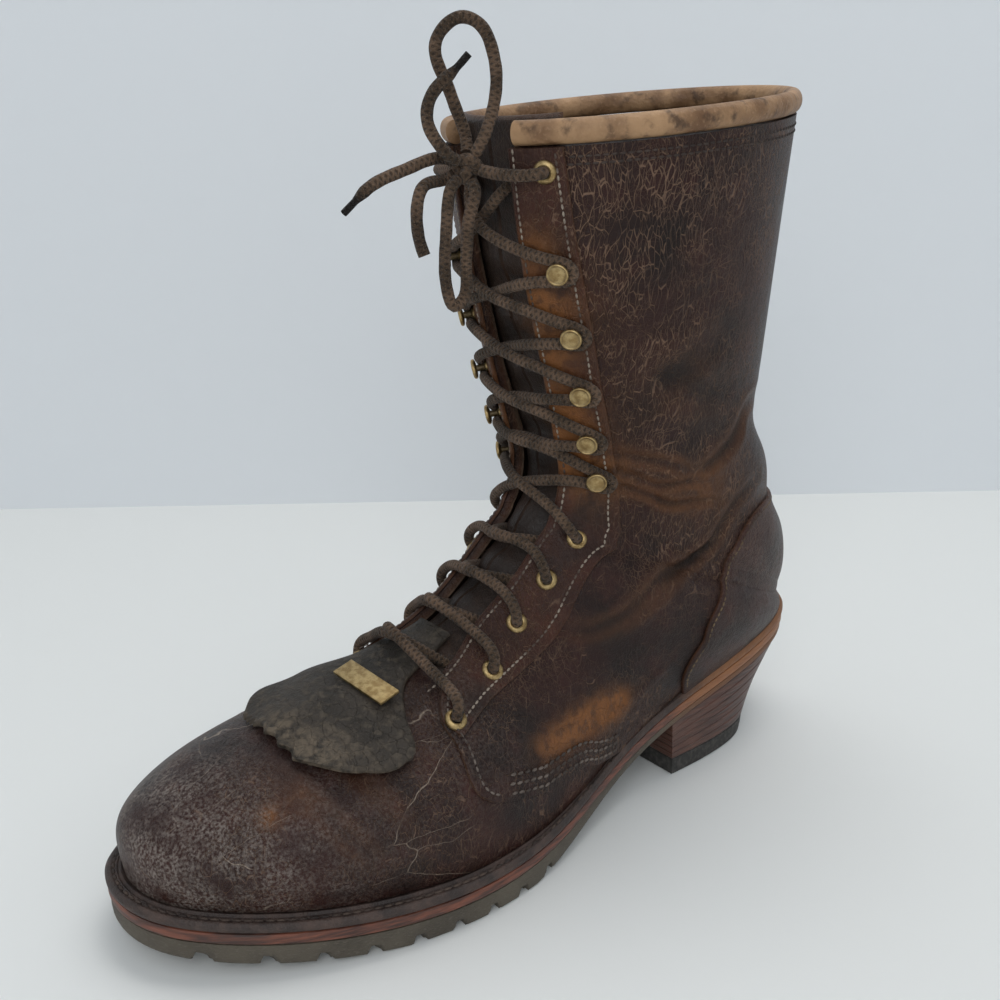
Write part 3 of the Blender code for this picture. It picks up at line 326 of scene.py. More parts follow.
def pushed_in(loop, distance):
    """A loop moved inwards in its plane by a distance, one value or one per point."""
    run = unit(np.roll(loop, -1, 0) - np.roll(loop, 1, 0))
    return loop + np.c_[run[:, 1], -run[:, 0]] * np.broadcast_to(distance, len(loop))[:, None]


def halves(loop, count):
    """Lateral and medial halves of a loop from toe tip to heel back, evenly spaced by arc."""
    toe, heel = int(np.argmin(loop[:, 1])), int(np.argmax(loop[:, 1]))
    turned = np.roll(loop, -toe, 0)
    reach = (heel - toe) % len(loop)
    sides = [turned[:reach + 1], np.vstack([turned[:1], turned[:reach - 1:-1]])]
    sides.sort(key=lambda half: -half[:, 0].mean())
    runs = [run_along(half) for half in sides]
    return [placed(np.linspace(0, run[-1], count), run, half) for run, half in zip(runs, sides)]


def welt_show(loop):
    """How far the welt shows beside the upper at each point of a loop."""
    return WELT_SHOW * np.interp(along(loop[:, 1]), *np.transpose(WELT_INSETS))


def in_middle(s, u):
    """Whether a point lies in the middle plane: on the ridge, on the back line or at the toe's tip."""
    return (u > 1 - 1e-6) | ((u < 1e-6) & (s >= 1 - 1e-9)) | (s < 1e-6)


SOLE = sole_loop()
FEATHER = halves(pushed_in(SOLE, welt_show(SOLE)), 480)


def last_section(s, u, side):
    """The upper's outer surface. s runs 0 to 1 round the foot from toe to heel and on to 2 up the shaft,
    u climbs from the welt or the back line (0) to the ridge of instep and shin (1), side is 1 outside
    and -1 inside. Each section is two superellipses: one opens from the foot to the widest point
    and one closes over the ridge, and the foot, ridge and widths run along the boot as splines."""
    s, u, side = np.broadcast_arrays(np.asarray(s, float), np.asarray(u, float), side)
    foot_share = np.clip(s, 0, 1)
    shares = np.linspace(0, 1, len(FEATHER[0]))
    edges = [[np.interp(foot_share, shares, half[:, k]) for k in (0, 1)] for half in FEATHER]
    edge_x, edge_y = (np.where(side > 0, edges[0][k], edges[1][k]) for k in (0, 1))
    back = spline(np.clip(s, 1, 2), BACK) * [LENGTH, SHAFT_HEIGHT]
    on_shaft = s > 1
    foot_y = np.where(on_shaft, HEEL_TO_ORIGIN - back[..., 0], edge_y)
    foot_z = np.where(on_shaft, back[..., 1], seat(edge_y))
    centre = FEATHER[0][0, 0] + (FEATHER[0][-1, 0] - FEATHER[0][0, 0]) * foot_share
    half = np.where(on_shaft, 0, np.abs(edge_x - centre))
    ridge = spline(s, reflected(RIDGE, 1)) * [LENGTH, SHAFT_HEIGHT]
    ridge_y, ridge_z = HEEL_TO_ORIGIN - ridge[..., 0], ridge[..., 1]
    swell = spline(s, reflected(np.asarray(SECTIONS)[:, :2], -1))[..., 0] * BALL_WIDTH
    shape = spline(s, np.asarray(SECTIONS)[:, (0, 2, 3, 4)])
    widest, top_power, low_power = shape[..., 0], shape[..., 1], shape[..., 2]
    width = np.hypot(half, swell) + 1e-9
    close = np.arccos(np.clip((half / width)**(low_power / 2), 0, 1)) + 1e-9
    low = u < LOWER_SHARE
    share = np.where(low, (LOWER_SHARE - u) / LOWER_SHARE, (u - LOWER_SHARE) / (1 - LOWER_SHARE))
    low_angle, top_angle = share * close, share * math.pi / 2
    low_rise = widest * (1 - (np.sin(low_angle) / np.sin(close))**(2 / low_power))
    low_out = width * np.abs(np.cos(low_angle))**(2 / low_power)
    top_rise = widest + (1 - widest) * np.sin(top_angle)**(2 / top_power)
    top_out = width * np.abs(np.cos(top_angle))**(2 / top_power)
    rise, out = np.where(low, low_rise, top_rise), np.where(low, low_out, top_out)
    return np.stack([centre + side * out, foot_y + rise * (ridge_y - foot_y),
                     foot_z + rise * (ridge_z - foot_z)], -1)


def last(s, u, side):
    """The surface with its turn at the ankle (s = 1) eased: the mean of two sections on either side of s,
    whose distance fades to nothing away from the ankle and down at the seat."""
    s, u = np.broadcast_arrays(np.asarray(s, float), np.asarray(u, float))
    step = 0.045 * np.exp(-((s - 1) / 0.05)**2) * np.clip(u / 0.2, 0, 1)
    return (last_section(s - step, u, side) + last_section(s + step, u, side)) / 2


def facing_out(s, u, side):
    """Unit vector out of the last: the cross product of its two tangents, kept in the middle plane
    along the ridge and the back line, where both sides share the outer side's."""
    s, u, side = np.broadcast_arrays(np.asarray(s, float), np.asarray(u, float), side)
    middle = in_middle(s, u)
    side = np.where(middle, 1, side)
    small = 2e-3
    run = last(np.minimum(s + small, 2), u, side) - last(np.maximum(s - small, 0), u, side)
    climb = last(s, np.minimum(u + small, 1), side) - last(s, np.maximum(u - small, 0), side)
    out = np.cross(run, climb) * side[..., None]
    out[..., 0] = np.where(middle, 0, out[..., 0])
    return out / (np.linalg.norm(out, axis=-1)[..., None] + 1e-12)


def drawn_over(s, u, side, height):
    """A point of leather at a height over the last; the lasting edge moves level and rests on the welt."""
    s, u, side = np.broadcast_arrays(np.asarray(s, float), np.asarray(u, float), side)
    out = facing_out(s, u, side)
    foot = (u < 1e-6) & (s <= 1 + 1e-6)
    out[..., 2] = np.where(foot, 0, out[..., 2])
    points = last(s, u, side) + unit(out) * np.broadcast_to(height, s.shape)[..., None]
    points[..., 2] = np.where(foot, seat(points[..., 1]) + 0.0002, points[..., 2])
    return points


def across(s, reach):
    """u on a section's upper curve at a distance across from the ridge, found by halving."""
    s, reach = np.broadcast_arrays(np.asarray(s, float), np.asarray(reach, float))
    low, high = np.full(s.shape, LOWER_SHARE), np.ones(s.shape)
    middle = last(s, np.ones(s.shape), 1)[..., 0]
    for _ in range(26):
        u = (low + high) / 2
        wide = np.abs(last(s, u, 1)[..., 0] - middle) > reach
        low, high = np.where(wide, u, low), np.where(wide, high, u)
    return u


board = Finish("insole_board")
mottle = board.noise(60, 4)
fibre = board.noise(900, 2)
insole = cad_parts["insole"]
insole.data.materials.clear()
tone = board.mix(mottle, (0.15, 0.085, 0.045), (0.27, 0.17, 0.10))
insole.data.materials.append(board.done(tone, 0.8, board.bump(fibre, 0.0004)))

# Outsole.
# Olive-brown rubber cut to the last, thin under the arch, with shallow bars across the forefoot.
# It is cemented and stitched under the midsole, and its edge is trimmed by hand.
WELT_THICK = 0.0036
MIDSOLE_THICK = 0.0046
CLEAR = 0.0003
BAR_PITCH = 0.0145
BAR_GAP = 0.0042
BAR_DEPTH = 0.0032
BAR_SLOPE = math.tan(math.radians(12))
RIB_HALF = 0.0065
FOREFOOT = (0.535, 0.965)


def woven_rings(count, size):
    """Quads between rings of points, each ring closed on itself."""
    first = (np.arange(count - 1)[:, None] * size + np.arange(size)).ravel()
    beside = (np.arange(count - 1)[:, None] * size + (np.arange(size) + 1) % size).ravel()
    return np.stack([first, beside, beside + size, first + size], 1)


def cleaned(made, merge=1e-6, angle=40):
    """Points that meet are merged, faces turned outwards and shaded smooth up to an angle."""
    work = bmesh.new()
    work.from_mesh(made.data)
    bmesh.ops.remove_doubles(work, verts=work.verts, dist=merge)
    bmesh.ops.dissolve_degenerate(work, edges=work.edges, dist=merge)
    bmesh.ops.delete(work, geom=[v for v in work.verts if not v.link_faces], context="VERTS")
    bmesh.ops.recalc_face_normals(work, faces=work.faces)
    work.to_mesh(made.data)
    work.free()
    made.data.shade_smooth()
    made.data.set_sharp_from_angle(angle=math.radians(angle))
    return made


def dressed(made, finish, slot, *nodes):
    """The piece gets its finish, rides on the boot and stands for its solids."""
    made.data.materials.append(finish)
    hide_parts(*nodes)
    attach(made, "root")
    return made


def plate(name, edge, top, bottom, groove=None, width=64):
    """A plate in the sole's outline. Each ring crosses the sole from the outer half to the inner half:
    down the outer edge's profile, over the underside, up the inner edge and back across the top.
    The edge's rows are (distance in from the outline, share of the plate's height)."""
    rows = [halves(pushed_in(SOLE, inset), 420) for inset, _ in edge]
    shares = np.array([share for _, share in edge])
    outer, inner = (np.stack([half[k] for half in rows], 1) for k in (0, 1))
    cross = np.linspace(0, 1, width)[1:-1, None]
    under = outer[:, -1, None] * (1 - cross) + inner[:, -1, None] * cross
    plan = np.concatenate([outer, under, inner[:, ::-1]], 1)
    height = np.r_[shares, np.full(width - 2, shares[-1]), shares[::-1]]
    low = bottom(plan[..., 1])
    low = low + groove(plan) if groove else low
    z = low + height * (top(plan[..., 1]) - low)
    rings = np.concatenate([plan, z[..., None]], -1)
    return cleaned(mesh_object(name, rings, woven_rings(*rings.shape[:2])), 2e-6)


def bars(plan):
    """Depth of the gaps between the tread's bars, which slope back from a plain rib in the middle."""
    x, y = plan[..., 0], plan[..., 1]
    slope = np.abs(x) * BAR_SLOPE
    share = ((HEEL_TO_ORIGIN - 0.545 * LENGTH - y + slope) / BAR_PITCH + 0.5) % 1 - 0.5
    inside = np.clip((BAR_GAP / 2 - np.abs(share) * BAR_PITCH) / 0.0006 + 0.5, 0, 1)
    at_side = np.clip((np.abs(x) - RIB_HALF) / 0.0008, 0, 1)
    first, final = FOREFOOT
    forefoot = np.clip((along(y) - first) / 0.01, 0, 1) * np.clip((final - along(y)) / 0.01, 0, 1)
    return BAR_DEPTH * inside * at_side * forefoot


def seat_over(depth):
    """The height at a depth below the welt's top, as a function of y."""
    return lambda y: seat(y) - depth


OUTSOLE_EDGE = ((0.0016, 1.0), (0.0008, 0.97), (0.0006, 0.8), (0.0005, 0.5), (0.0007, 0.2), (0.0011, 0.06),
                (0.0018, 0.0))
outsole_top = seat_over(WELT_THICK + MIDSOLE_THICK + 2 * CLEAR)
outsole = plate("outsole_rubber", OUTSOLE_EDGE, outsole_top, tread, bars)
rubber = Finish("olive_rubber")
depth = rubber.towards_heel()
cloudy = rubber.noise(45, 5)
scrapes = rubber.noise(700, 3, rubber.turned(scale=(1, 1, 3.5)))
tone = rubber.mix(cloudy.between(0.3, 0.7), (0.062, 0.050, 0.036), (0.110, 0.092, 0.066))
tone = rubber.mix(scrapes.between(0.52, 0.72) * 0.5, tone, (0.17, 0.145, 0.11))
tone = rubber.mix(depth.between(-0.045, -0.012) * 0.8, tone, (0.20, 0.085, 0.038))
soled = rubber.done(tone, cloudy * 0.2 + 0.55, rubber.bump(scrapes, 0.0006))
dressed(outsole, soled, "rubber", "outsole")

# Midsole.
# A leather layer between welt and outsole; only its reddish burnished edge shows.
MIDSOLE_EDGE = ((0.0012, 1.0), (0.0003, 0.9), (0.0, 0.6), (0.0, 0.35), (0.0003, 0.1), (0.0012, 0.0))
midsole = plate("midsole_edge", MIDSOLE_EDGE, seat_over(WELT_THICK + CLEAR),
                seat_over(WELT_THICK + MIDSOLE_THICK + CLEAR), width=8)
edge = Finish("burnished_edge")
depth = edge.towards_heel()
run = edge.turned(scale=(1, 1, 9))
layers = edge.noise(90, 5, run)
tone = edge.mix(layers.between(0.35, 0.65), (0.055, 0.022, 0.016), (0.19, 0.062, 0.036))
tone = edge.mix(edge.noise(30, 3).between(0.5, 0.75) * 0.6, tone, (0.035, 0.024, 0.02))
tanned = edge.mix(layers, (0.15, 0.055, 0.022), (0.36, 0.15, 0.055))
tone = edge.mix(depth.between(-0.045, -0.012), tone, tanned)
dressed(midsole, edge.done(tone, layers * 0.25 + 0.36, edge.bump(layers, 0.0005)), "leather", "midsole")

# Welt.
# A dark strip of leather sewn to the upper's edge all round, with a rolled bead next to the upper.
# Its top carries the lockstitch that holds midsole and outsole, about 3.6 mm a stitch.


def welt_rings(loop, edge):
    """Cross-sections of the welt: from under the upper out over the bead, groove and lip and back."""
    rings = []
    for share, inset, height in edge:
        plan = pushed_in(loop, share * welt_show(loop) + inset)
        rings.append(np.c_[plan, seat(plan[:, 1]) + height])
    return np.stack(rings, 1)


WELT_EDGE = ((1.0, 0.0026, -WELT_THICK), (1.0, 0.0026, -0.0002), (1.0, 0.0002, -0.0001), (0.93, 0, 0.0001),
             (0.86, 0, 0.0005), (0.78, 0, 0.0005), (0.71, 0, 0.0000), (0.66, 0, -0.0004), (0.58, 0, -0.0001),
             (0.50, 0, -0.0002), (0.44, 0, -0.0005), (0.38, 0, -0.0005), (0.32, 0, -0.0002), (0.22, 0, 0.0),
             (0.14, 0, -0.0001), (0.07, 0, -0.0003), (0.02, 0, -0.0008), (0.0, -0.0004, -0.0015),
             (0.0, -0.0004, -0.0026), (0.0, -0.0001, -0.0033), (0.0, 0.0004, -WELT_THICK))
rings = welt_rings(SOLE, WELT_EDGE)
faces = woven_rings(*rings.shape[:2])
count, size = rings.shape[:2]
ring, beside = np.arange(size), (np.arange(size) + 1) % size
closing = np.stack([(count - 1) * size + ring, (count - 1) * size + beside, beside, ring], 1)
welt = cleaned(mesh_object("welt_strip", rings, np.vstack([faces, closing])))
strip = Finish("welt_leather")
depth = strip.towards_heel()
grime = strip.noise(140, 5)
pores = strip.noise(1400, 2)
tone = strip.mix(grime.between(0.35, 0.7), (0.028, 0.017, 0.014), (0.075, 0.046, 0.036))
tanned = strip.mix(grime, (0.12, 0.05, 0.022), (0.30, 0.13, 0.05))
tone = strip.mix(depth.between(-0.035, -0.005), tone, tanned)
normal = strip.bump(pores, 0.0004, strip.bump(grime, 0.0006))
dressed(welt, strip.done(tone, grime * 0.3 + 0.42, normal), "leather", "welt")


def stitches(path, out, pitch, long, thick, proud, slant=0.0):
    """Stitches along a path: each is a small ellipsoid, its long axis on the path's tangent (turned by
    the slant), its short axis out of the leather, its middle sunk by the share that isn't proud."""
    run = run_along(path)
    at = np.arange(pitch / 2, run[-1], pitch)
    middle, up = placed(at, run, path), placed(at, run, out)
    ahead = unit(placed(at + pitch * 0.2, run, path) - middle + 1e-9)
    ahead = ahead * math.cos(slant) + np.cross(up, ahead) * math.sin(slant)
    beside = np.cross(up, ahead)
    turn = np.arange(8) * math.pi / 4
    turn, tilt = np.meshgrid(turn, np.array([-0.5, -0.3, 0.0, 0.3, 0.5]) * math.pi, indexing="ij")
    shape = np.stack([np.sin(tilt), np.cos(tilt) * np.cos(turn), np.cos(tilt) * np.sin(turn)], -1)
    points = (middle[:, None, None] + up[:, None, None] * thick * (proud - 0.5)
              + shape[None, ..., 0:1] * ahead[:, None, None] * long / 2
              + shape[None, ..., 1:2] * beside[:, None, None] * thick * 0.62
              + shape[None, ..., 2:3] * up[:, None, None] * thick / 2)
    first = (np.arange(8)[:, None] * 5 + np.arange(4)).ravel()
    beside_first = ((np.arange(8)[:, None] + 1) % 8 * 5 + np.arange(4)).ravel()
    one = np.stack([first, beside_first, beside_first + 1, first + 1], 1)
    faces = (one[None] + np.arange(len(at))[:, None, None] * 40).reshape(-1, 4)
    return points.reshape(-1, 3), faces


def sewn(name, rows, finish):
    """Rows of stitches as one piece."""
    points = np.vstack([row[0] for row in rows])
    starts = np.cumsum([0] + [len(row[0]) for row in rows])
    faces = np.vstack([row[1] + start for row, start in zip(rows, starts)])
    made = cleaned(mesh_object(name, points, faces), 1e-7, 80)
    made.data.materials.append(finish)
    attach(made, "root")


def thread(name, colour, dirt):
    """Twisted thread of a colour that dirt has darkened here and there."""
    finish = Finish(name)
    twist = finish.noise(1500, 2)
    soil = finish.noise(90, 4)
    tone = finish.mix(soil.between(0.38, 0.62), colour, dirt)
    return finish.done(tone, 0.75, finish.bump(twist, 0.0003))


WELT_STITCH = {"pitch": 0.0036, "long": 0.0031, "thick": 0.0012, "proud": 0.45}
groove = welt_rings(np.vstack([SOLE, SOLE[:1]]), ((0.42, 0, -0.0003),))[:, 0]
upwards = np.broadcast_to((0.0, 0.0, 1.0), groove.shape)
sewn("welt_stitches", [stitches(groove, upwards, **WELT_STITCH)],
     thread("waxed_thread", (0.085, 0.058, 0.044), (0.03, 0.02, 0.017)))

# Heel.
# Layers of leather, glued, nailed and shaped to draw in towards the floor, over a rubber lift.
HEEL_BREAST = 0.281
LIFT_THICK = 0.0075
# Half outline of the heel at the floor, in shares of the length and ball widths.
HEEL_BASE = ((0.080, 0.0), (0.086, 0.13), (0.115, 0.235), (0.170, 0.290), (0.281, 0.305))
LAYERS = 6
BASE_BLEND = 0.93


def heel_outline(share, count=48):
    """U outline of the heel in plan: a straight blend from the sole's edge (0) to its base (1)."""
    base = np.asarray(HEEL_BASE) * [LENGTH, BALL_WIDTH]
    run = run_along(base)
    from_breast = np.linspace(0, 1, count)
    low_along, low_across = spline((1 - from_breast) * run[-1], np.c_[run, base]).T
    sides = []
    for side, half in zip((1, -1), halves(pushed_in(SOLE, 0.0014), 800)):
        part = half[half[:, 1] > HEEL_TO_ORIGIN - HEEL_BREAST * LENGTH]
        top = placed(from_breast, np.linspace(0, 1, len(part)), part)
        low = np.stack([side * low_across + 0.02 * BALL_WIDTH, HEEL_TO_ORIGIN - low_along], 1)
        sides.append(top + (low - top) * share)
    return np.vstack([sides[0], sides[1][-2::-1]])


def heel_body(name, rows, finish, slot, node):
    """A stack of outlines as a closed body: each row is (blend, height share, draw-in, foot, top)."""
    rings = []
    for share, height, inset, low, high in rows:
        plan = heel_outline(share)
        plan = plan - unit(plan - plan.mean(0)) * inset
        rings.append(np.c_[plan, low + height * (high(plan[:, 1]) - low)])
    rings = np.stack(rings)
    count, size = rings.shape[:2]
    points = np.vstack([rings.reshape(-1, 3), rings[0].mean(0), rings[-1].mean(0)])
    ring, beside, last_ring = np.arange(size), (np.arange(size) + 1) % size, (count - 1) * size
    lids = [np.stack([ring, beside, np.full(size, count * size)], 1),
            np.stack([last_ring + beside, last_ring + ring, np.full(size, count * size + 1)], 1)]
    faces = woven_rings(count, size).tolist() + lids[0].tolist() + lids[1].tolist()
    dressed(cleaned(mesh_object(name, points, faces), angle=30), finish, slot, node)


def under_sole(y):
    """The height just below the outsole."""
    return tread(y) - CLEAR


stack_rows = []
for height in np.linspace(0, 1, 49):
    blend = float(spline(height, ((0.0, BASE_BLEND), (0.48, 0.62), (1.0, 0.0)))[0])
    to_joint = abs((height * LAYERS) % 1 - 0.5)
    joint = 0.00035 * max(0.0, (to_joint - 0.42) / 0.08)
    stack_rows.append((blend, height, joint, LIFT_THICK + CLEAR, under_sole))
stack = Finish("stacked_leather")
grain = stack.noise(60, 5, stack.turned(scale=(1, 1, 12)))
worn = stack.noise(22, 3)
tone = stack.mix(grain.between(0.3, 0.7), (0.040, 0.017, 0.013), (0.105, 0.042, 0.028))
tone = stack.mix(worn.between(0.5, 0.8) * 0.5, tone, (0.16, 0.085, 0.06))
stacked = stack.done(tone, grain * 0.25 + 0.3, stack.bump(grain, 0.0006))
heel_body("heel_layers", stack_rows, stacked, "leather", "heel_stack")
lift = Finish("heel_rubber")
specks = lift.noise(500, 3)
tone = lift.mix(specks.between(0.4, 0.7), (0.022, 0.020, 0.018), (0.06, 0.054, 0.048))
lift_edge = ((0.0, 0.0014), (0.03, 0.0006), (0.1, 0.0001), (0.5, 0.0), (0.92, 0.0001), (1.0, 0.0007))
lift_rows = [(BASE_BLEND + (1 - BASE_BLEND) * (1 - height), height, inset, 0.0, lambda y: LIFT_THICK + 0 * y)
             for height, inset in lift_edge]
heel_body("heel_lift", lift_rows, lift.done(tone, 0.7, lift.bump(specks, 0.0005)), "rubber", "heel_top_lift")

# Vamp.
# Oiled cowhide lasted over the toe; it runs back under the quarters and under the kiltie.
# Years of walking left folds, pale scratches and a dusty, dented toe.
QUARTER_LAP = 0.0014
THROAT_U = 0.847
COLLAR_S = 1.955
# Front edge of the quarters: the row, from 0 at the welt to THROAT_U at the facing, then s.
QUARTER_EDGE = ((0.0, 0.600), (0.20, 0.560), (0.404, 0.510), (0.46, 0.466), (0.504, 0.438), (0.536, 0.432),
                (0.586, 0.438), (0.637, 0.453), (0.702, 0.470), (0.78, 0.492), (0.847, 0.545), (1.0, 0.545))
# The main folds: depth, half width, how much the ridge beside has worn to tan, then the way they run.
FOLDS = (
    (0.0011, 0.0021, 0.8, ((0.0294, -0.0639, 0.1485), (0.0329, -0.0584, 0.1469), (0.0360, -0.0522, 0.1450),
                           (0.0403, -0.0395, 0.1410), (0.0415, -0.0308, 0.1360))),
    (0.0016, 0.0030, 0.6, ((0.0410, -0.0330, 0.1368), (0.0434, -0.0229, 0.1391), (0.0442, -0.0157, 0.1438),
                           (0.0442, -0.0089, 0.1498), (0.0440, -0.0054, 0.1556), (0.035, 0.012, 0.160))),
    (0.0011, 0.0019, 0.9, ((0.0280, -0.0627, 0.1419), (0.0329, -0.0532, 0.1372), (0.0358, -0.0450, 0.1328),
                           (0.0397, -0.0350, 0.1331), (0.0425, -0.0163, 0.1296))),
    (0.0015, 0.0018, 1.0, ((0.0269, -0.0621, 0.1361), (0.0316, -0.0534, 0.1323), (0.0344, -0.0462, 0.1290),
                           (0.0362, -0.0400, 0.1249), (0.0397, -0.0271, 0.1238), (0.0414, -0.0140, 0.1212))),
    (0.0020, 0.0027, 0.55, ((0.0282, -0.0913, 0.0858), (0.0327, -0.0815, 0.0816), (0.0354, -0.0719, 0.0813),
                            (0.0382, -0.0587, 0.0861), (0.0386, -0.0445, 0.0942), (0.0356, -0.0274, 0.0966),
                            (0.0394, -0.0147, 0.1044), (0.0416, -0.0052, 0.1192), (0.0400, 0.0091, 0.1261))),
    (0.0013, 0.0022, 0.45, ((0.0367, -0.0691, 0.0769), (0.0392, -0.0553, 0.0837), (0.0399, -0.0403, 0.0913),
                            (0.0376, -0.0208, 0.0984), (0.0393, -0.0123, 0.1018))),
    (0.0010, 0.0060, 0.2, ((0.0398, -0.0617, 0.1827), (0.0449, -0.0457, 0.1768), (0.0465, -0.0279, 0.1688),
                           (0.0461, -0.0122, 0.1685))),
    (0.0008, 0.0055, 0.2, ((0.0358, -0.0625, 0.1658), (0.0421, -0.0528, 0.1733), (0.0474, -0.0386, 0.1839),
                           (0.0494, -0.0224, 0.1897))),
    (0.0013, 0.0024, 0.7, ((-0.0290, -0.0640, 0.1460), (-0.0350, -0.0530, 0.1420), (-0.0400, -0.0390, 0.1370),
                           (-0.0430, -0.0220, 0.1350), (-0.0430, -0.0080, 0.1420))),
    (0.0015, 0.0022, 0.8, ((-0.0270, -0.0620, 0.1340), (-0.0330, -0.0500, 0.1290), (-0.0370, -0.0380, 0.1250),
                           (-0.0410, -0.0200, 0.1240))),
    (0.0018, 0.0028, 0.5, ((-0.0290, -0.0900, 0.0880), (-0.0340, -0.0740, 0.0850), (-0.0370, -0.0570, 0.0900),
                           (-0.0380, -0.0380, 0.0980), (-0.0390, -0.0150, 0.1080),
                           (-0.0400, 0.0060, 0.1230))),
    (0.0006, 0.0028, 0.3, ((0.0500, -0.1700, 0.0340), (0.0420, -0.1780, 0.0500), (0.0270, -0.1840, 0.0620),
                           (0.0080, -0.1880, 0.0690))),
    (0.0005, 0.0026, 0.3, ((0.0540, -0.1850, 0.0330), (0.0440, -0.1960, 0.0480), (0.0300, -0.2020, 0.0590),
                           (0.0130, -0.2060, 0.0640))),
    (0.0006, 0.0028, 0.3, ((-0.0430, -0.1780, 0.0360), (-0.0360, -0.1860, 0.0500),
                           (-0.0200, -0.1900, 0.0640))),
)


def folds(points):
    """Height and wear of the folds at the points. Across a fold, with q the distance over its half width,
    the leather sinks by exp(-q^2) and rises beside it by exp(-2(q-1.8)^2); a sine fades it at both ends."""
    flat = points.reshape(-1, 3)
    height, wear = np.zeros(len(flat)), np.zeros(len(flat))
    for depth, half, worn, way in FOLDS:
        knots = run_along(way)
        way = spline(np.linspace(0, knots[-1], 25), np.c_[knots, way])
        near = np.flatnonzero(((flat > way.min(0) - 5 * half) & (flat < way.max(0) + 5 * half)).all(1))
        if not len(near):
            continue
        start, run = way[:-1], np.diff(way, axis=0)
        from_start = flat[near, None] - start
        share = np.clip((from_start * run).sum(-1) / (run**2).sum(-1), 0, 1)
        gap = np.linalg.norm(from_start - share[..., None] * run, axis=-1)
        nearest = gap.argmin(1)
        q = gap[np.arange(len(near)), nearest] / half
        place = (nearest + share[np.arange(len(near)), nearest]) / len(run)
        fade = np.sin(math.pi * np.clip(place, 0.02, 0.98))**0.6
        height[near] += depth * fade * (0.42 * np.exp(-2 * (q - 1.8)**2) - np.exp(-q**2))
        wear[near] = np.maximum(wear[near], worn * fade * np.exp(-1.2 * (q - 1.3)**2))
    return height.reshape(points.shape[:-1]), wear.reshape(points.shape[:-1])


def around(points, spots):
    """Soft spots: for each (x, y, z, reach, strength) the strength fades as exp(-(distance / reach)^2)."""
    total = np.zeros(points.shape[:-1])
    for x, y, z, reach, strength in spots:
        total = total + strength * np.exp(-((points - [x, y, z])**2).sum(-1) / reach**2)
    return np.clip(total, 0, 1)


# Spots worn tan; spots of dust on the toe and of painted greyish sheen on the counter, the vamp and the
# shaft; and crackled spots: a place, its reach and its strength.
TAN_SPOTS = ((0.0480, -0.1150, 0.0490, 0.005, 0.5), (0.0470, -0.1080, 0.0495, 0.0055, 0.7),
             (0.0460, -0.1010, 0.0498, 0.0055, 0.8), (0.0445, -0.0940, 0.0500, 0.006, 0.9),
             (0.0435, -0.0870, 0.0500, 0.006, 0.9), (0.0428, -0.0800, 0.0500, 0.006, 1.0),
             (0.0420, -0.0730, 0.0500, 0.006, 1.0), (0.0412, -0.0665, 0.0502, 0.005, 0.9),
             (0.024, -0.066, 0.140, 0.012, 0.7), (0.020, -0.074, 0.165, 0.012, 0.45),
             (0.017, -0.083, 0.205, 0.016, 0.5), (0.040, -0.024, 0.128, 0.013, 0.35),
             (0.030, -0.205, 0.058, 0.006, 0.25), (0.0283, -0.2141, 0.0546, 0.004, 0.8))
# The four spots on the toe are dust; those on the counter, the vamp and the shaft are painted sheen.
DUST_AND_SHEEN_SPOTS = ((-0.012, -0.250, 0.045, 0.035, 1.0), (0.020, -0.245, 0.040, 0.030, 0.7),
               (0.045, -0.215, 0.035, 0.030, 0.5), (-0.040, -0.215, 0.035, 0.030, 0.5),
               (0.045, 0.030, 0.090, 0.035, 0.35), (0.028, -0.150, 0.055, 0.030, 0.3),
               (0.052, 0.010, 0.235, 0.03, 0.25))
CRACKLED_SPOTS = ((0.0400, -0.0800, 0.2500, 0.030, 0.9), (0.045, -0.055, 0.225, 0.025, 0.6),
                  (0.044, -0.035, 0.175, 0.030, 0.8), (-0.040, -0.060, 0.230, 0.035, 0.7),
                  (0.040, -0.020, 0.110, 0.030, 0.5))


def rounded_edge(base, borders, radius):
    """Share of a sheet's thickness near its cut edges: a quarter circle of the radius above a cut face.
    The borders are s or S for the grid's first or last column and u or U for its first or last row."""
    share = np.ones(base.shape[:-1])
    for letter in borders:
        axis = 0 if letter in "sS" else 1
        run = run_along(base, axis)
        if letter in "SU":
            run = run.take([-1], axis=axis) - run
        inward = np.clip(run / radius, 0, 1)
        share = share * (0.4 + 0.6 * np.sqrt(1 - (1 - inward)**2))
    return share


